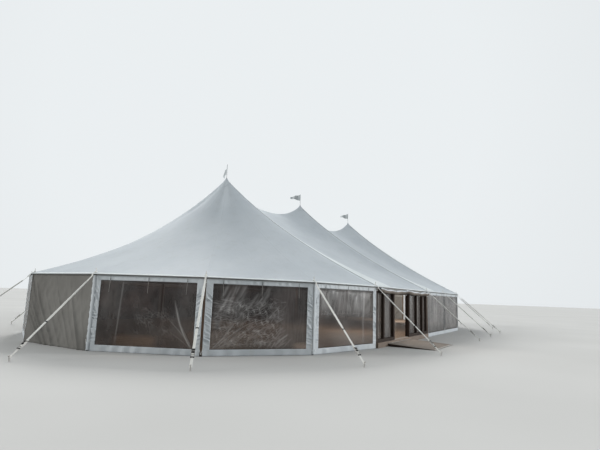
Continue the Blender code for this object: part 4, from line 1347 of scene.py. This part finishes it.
def make_ramp():
    low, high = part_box("entrance_ramp")
    top_back, top_front = high.z, 0.02
    slope = (top_back - top_front) / (high.y - low.y)
    rise_axis = Vector((0, 1, slope)).normalized()
    lift_axis = Vector((0, -slope, 1)).normalized()
    deck = Shape()
    middle = (low.x + high.x) / 2
    length = math.hypot(high.y - low.y, top_back - top_front)
    for x0, x1 in ((low.x, middle - 0.002), (middle + 0.002, high.x)):
        centre = Vector(((x0 + x1) / 2, (low.y + high.y) / 2, (top_back + top_front) / 2)) - lift_axis * 0.009
        deck.block(centre, (x1 - x0, length, 0.018), ((1, 0, 0), rise_axis, lift_axis))
    made = deck.piece("ramp_deck", finishes["ramp"], slot="ramp_ply", bevel=0.002)
    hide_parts("entrance_ramp")
    under = Shape()
    for i in range(5):
        x = low.x + 0.03 + (high.x - low.x - 0.06) * i / 4
        back, front = high.y - 0.003, low.y + 0.12
        tall = [top_back - 0.02, top_front - 0.02 + slope * (front - low.y)]
        points = []
        for px in (x - 0.022, x + 0.022):
            points += [(px, back, 0), (px, back, tall[0]), (px, front, max(tall[1], 0.004)), (px, front, 0)]
        faces = [(0, 1, 2, 3), (4, 7, 6, 5), (0, 4, 5, 1), (1, 5, 6, 2), (2, 6, 7, 3), (3, 7, 4, 0)]
        under.add(points, faces)
    under.piece("ramp_bearers", finishes["door"], slot="ramp_ply")
    strip = Shape()
    edge = Vector((middle, low.y + 0.02, top_front + slope * 0.02)) + lift_axis * 0.0015
    strip.block(edge, (high.x - low.x, 0.035, 0.003), ((1, 0, 0), rise_axis, lift_axis))
    strip.block((middle, high.y - 0.02, top_back + 0.0015), (high.x - low.x, 0.04, 0.003))
    strip.piece("ramp_edge_strips", finishes["steel"], slot="stake_steel", bevel=0.0008)


def make_door_details():
    for key in ("door_frame", "door_leaf_left", "door_leaf_right"):
        paint(key, "door")
        step = nodes[key].modifiers.new("edges", "BEVEL")
        step.width = 0.003
        step.segments = 2
        step.limit_method = "ANGLE"
        step.angle_limit = math.radians(50)
    for key in ("door_glass_left", "door_glass_right", "side_light_left", "side_light_right"):
        paint(key, "glazing")
    paint("floor_deck", "floor")
    for label, body, side in (("left", "door_left", -1), ("right", "door_right", 1)):
        low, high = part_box(f"door_leaf_{label}")
        glass_low, glass_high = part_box(f"door_glass_{label}")
        meeting = low.x + 0.05 if side < 0 else high.x - 0.05
        handle = Shape()
        face = high.y
        for z in (0.98, 1.18):
            handle.turned((meeting, face, z), (0, 1, 0), [(0, 0.016), (0.004, 0.016), (0.005, 0.009), (0.045, 0.009)], 16)
        handle.turned((meeting, face + 0.047, 0.94), (0, 0, 1), [(0, 0.009), (0.002, 0.011), (0.278, 0.011), (0.28, 0.009)], 16)
        plate_z = 1.08
        handle.block((meeting, face + 0.0015, plate_z - 0.2), (0.04, 0.003, 0.09))
        handle.turned((meeting, face + 0.003, plate_z - 0.2), (0, 1, 0), [(0, 0.012), (0.006, 0.012)], 16)
        handle.piece(f"door_pull_{label}", finishes["dark_steel"], body=body, slot="black_fittings", bevel=0.001)
        beads = Shape()
        size = 0.012
        for y in ((glass_low.y + low.y + 0.004) / 2 - 0.001, (glass_high.y + high.y) / 2 + 0.001):
            thick = 0.014
            spans = (
                ((glass_low.x + size / 2, y, (glass_low.z + glass_high.z) / 2), (size, thick, glass_high.z - glass_low.z)),
                ((glass_high.x - size / 2, y, (glass_low.z + glass_high.z) / 2), (size, thick, glass_high.z - glass_low.z)),
                (((glass_low.x + glass_high.x) / 2, y, glass_low.z + size / 2), (glass_high.x - glass_low.x, thick, size)),
                (((glass_low.x + glass_high.x) / 2, y, glass_high.z - size / 2), (glass_high.x - glass_low.x, thick, size)),
            )
            for centre, extent in spans:
                beads.block(centre, extent)
        beads.piece(f"glazing_beads_{label}", finishes["door"], body=body, slot="door_timber", bevel=0.003)
    low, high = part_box("door_frame")
    sill = Shape()
    left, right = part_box("door_leaf_left")[1].x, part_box("door_leaf_right")[0].x
    sill.block(((left + right) / 2, low.y + 0.05, FLOOR_Z + 0.003), (right - left - 0.04, 0.07, 0.006))
    sill.piece("door_threshold", finishes["steel"], slot="stake_steel", bevel=0.002)


# Pennants


def make_pennants():
    for number, (degrees, reach, hang, length) in enumerate(PENNANTS, 1):
        x = KING_X[number - 1]
        heading = Vector((math.cos(math.radians(degrees)), math.sin(math.radians(degrees))))
        side = Vector((-heading.y, heading.x))
        top = PEAK_Z + ROD_LENGTH
        phase = random.Random(600 + number).uniform(0, TAU)
        rows = []
        for i in range(33):
            share = i / 32
            half = PENNANT_HOIST / 2 * (1 - share) + PENNANT_TIP * share * 1.8
            middle = top - 0.01 - PENNANT_HOIST / 2 - hang * share**1.4 + 0.012 * math.sin(TAU * share * 1.6 + phase)
            row = []
            for j in range(13):
                part = j / 6 - 1
                ripple = 0.045 * min(1.0, 2 * share) * math.sin(TAU * share * 1.5 + phase + part * 0.9)
                fold = 0.03 * share * part * math.sin(TAU * share * 0.9 + phase)
                place = Vector((x, 0)) + heading * (reach * share - 0.04 * share * part * hang) + side * (ripple + fold)
                row.append((place.x, place.y, middle + half * part))
            rows.append(row)
        flag = Shape()
        flag.grid(rows)
        made = flag.piece(f"pennant_{number}_cloth", finishes["pennant"], slot="pennant_cloth", thickness=0.001)
        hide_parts(f"pennant_{number}")
        rod = Shape()
        rod.turned((x, 0, PEAK_Z - 0.02), (0, 0, 1), [(0, 0.008), (top - PEAK_Z + 0.01, 0.008)], 14)
        knob = [(0, 0.006), (0.004, 0.012), (0.010, 0.013), (0.016, 0.010), (0.019, 0.003)]
        rod.turned((x, 0, top - 0.012), (0, 0, 1), knob, 16)
        hem = [(x, 0, top - 0.01 - PENNANT_HOIST * i / 12) for i in range(13)]
        rod.sweep(hem, circle(0.0125, 12), up=(1, 0, 0), mark=1)
        rod.piece(f"pennant_{number}_rod", finishes["rod"], finishes["pennant"], slot="stake_steel")


# Studio


def make_stage():
    mesh = bpy.data.meshes.new("studio_floor")
    half = 400.0
    mesh.from_pydata([(-half, -half, 0), (half, -half, 0), (half, half, 0), (-half, half, 0)], [], [(0, 1, 2, 3)])
    floor = bpy.data.objects.new("studio_floor", mesh)
    bpy.context.scene.collection.objects.link(floor)
    finish = Finish("studio_floor", (0.48, 0.48, 0.47), 0.9, specular=0.1)
    finish.color(finish.ramp(finish.noise(0.15, 2.0), (0.3, (0.46, 0.46, 0.45)), (0.7, (0.5, 0.5, 0.49))))
    mesh.materials.append(finish.material)


def make_world():
    world = bpy.data.worlds.new("studio")
    bpy.context.scene.world = world
    world.use_nodes = True
    tree = world.node_tree
    back = tree.nodes["Background"]
    place = tree.nodes.new("ShaderNodeTexCoord")
    toward = tree.nodes.new("ShaderNodeVectorMath")
    toward.operation = "DOT_PRODUCT"
    toward.inputs[1].default_value = (0.75, 0.55, 0.36)
    ramp = tree.nodes.new("ShaderNodeMapRange")
    ramp.inputs["From Min"].default_value = -1.0
    ramp.inputs["From Max"].default_value = 0.9
    ramp.inputs["To Min"].default_value = 0.34
    ramp.inputs["To Max"].default_value = 0.88
    tree.links.new(place.outputs["Generated"], toward.inputs[0])
    tree.links.new(toward.outputs["Value"], ramp.inputs["Value"])
    tree.links.new(ramp.outputs["Result"], back.inputs["Strength"])
    back.inputs["Color"].default_value = (0.94, 0.98, 1.0, 1)


def make_light(name, at, aim, size, power, color=(1, 1, 1)):
    data = bpy.data.lights.new(name, "AREA")
    data.shape = "DISK"
    data.size = size
    data.energy = power
    data.color = color
    lamp = bpy.data.objects.new(name, data)
    bpy.context.scene.collection.objects.link(lamp)
    lamp.visible_camera = False
    lamp.location = at
    lamp.rotation_mode = "QUATERNION"
    lamp.rotation_quaternion = (Vector(at) - Vector(aim)).to_track_quat("Z", "Y")


def make_sun(name, toward, angle, strength, color):
    """Even light from one direction, softened over an angle in degrees."""
    data = bpy.data.lights.new(name, "SUN")
    data.angle = math.radians(angle)
    data.energy = strength
    data.color = color
    lamp = bpy.data.objects.new(name, data)
    bpy.context.scene.collection.objects.link(lamp)
    lamp.rotation_mode = "QUATERNION"
    lamp.rotation_quaternion = Vector(toward).to_track_quat("Z", "Y")


def make_camera():
    data = bpy.data.cameras.new("camera")
    camera = bpy.data.objects.new("camera", data)
    bpy.context.scene.collection.objects.link(camera)
    data.sensor_width = 36.0
    data.lens = data.sensor_width * FOCAL_PIXELS / IMAGE_WIDTH
    data.clip_end = 500.0
    turn = Matrix.Rotation(CAMERA_HEADING - math.pi / 2, 3, "Z") @ Matrix.Rotation(CAMERA_PITCH, 3, "X")
    turn = turn @ Matrix.Rotation(CAMERA_ROLL, 3, "Y") @ Matrix.Rotation(math.pi / 2, 3, "X")
    camera.location = CAMERA_AT
    camera.rotation_euler = turn.to_euler()
    bpy.context.scene.camera = camera


make_camera()
make_stage()
make_world()
make_sun("left_glow", (-22, 20, 11), 11, 1.45, (1.0, 0.99, 0.97))
make_sun("right_key", (24, -30, 8), 6, 1.6, (0.98, 0.99, 1.0))
make_sun("back_glow", (26, 26, 24), 21, 2.0, (1.0, 0.99, 0.97))
make_light("inner_glow", (-3, 0, 3.9), (-3, 0, 0), 5, 360, (1.0, 0.86, 0.74))
make_light("entrance_glow", (-2.2, -4.2, 2.1), (-2.2, -5.0, 0), 1.4, 90, (1.0, 0.9, 0.8))
make_light("near_glow", (-7.6, -1.6, 2.6), (-9.5, -3.5, 0), 1.6, 100, (1.0, 0.86, 0.72))
make_light("far_glow", (8.0, -1.5, 2.5), (12.0, -2.5, 1.0), 1.8, 240, (1.0, 0.95, 0.9))
scene = bpy.context.scene
scene.view_settings.view_transform = "Standard"
make_roof()
make_kings()
make_side_poles()
make_guys()
make_walls()
make_door_details()
make_curtains()
make_ramp()
make_pennants()
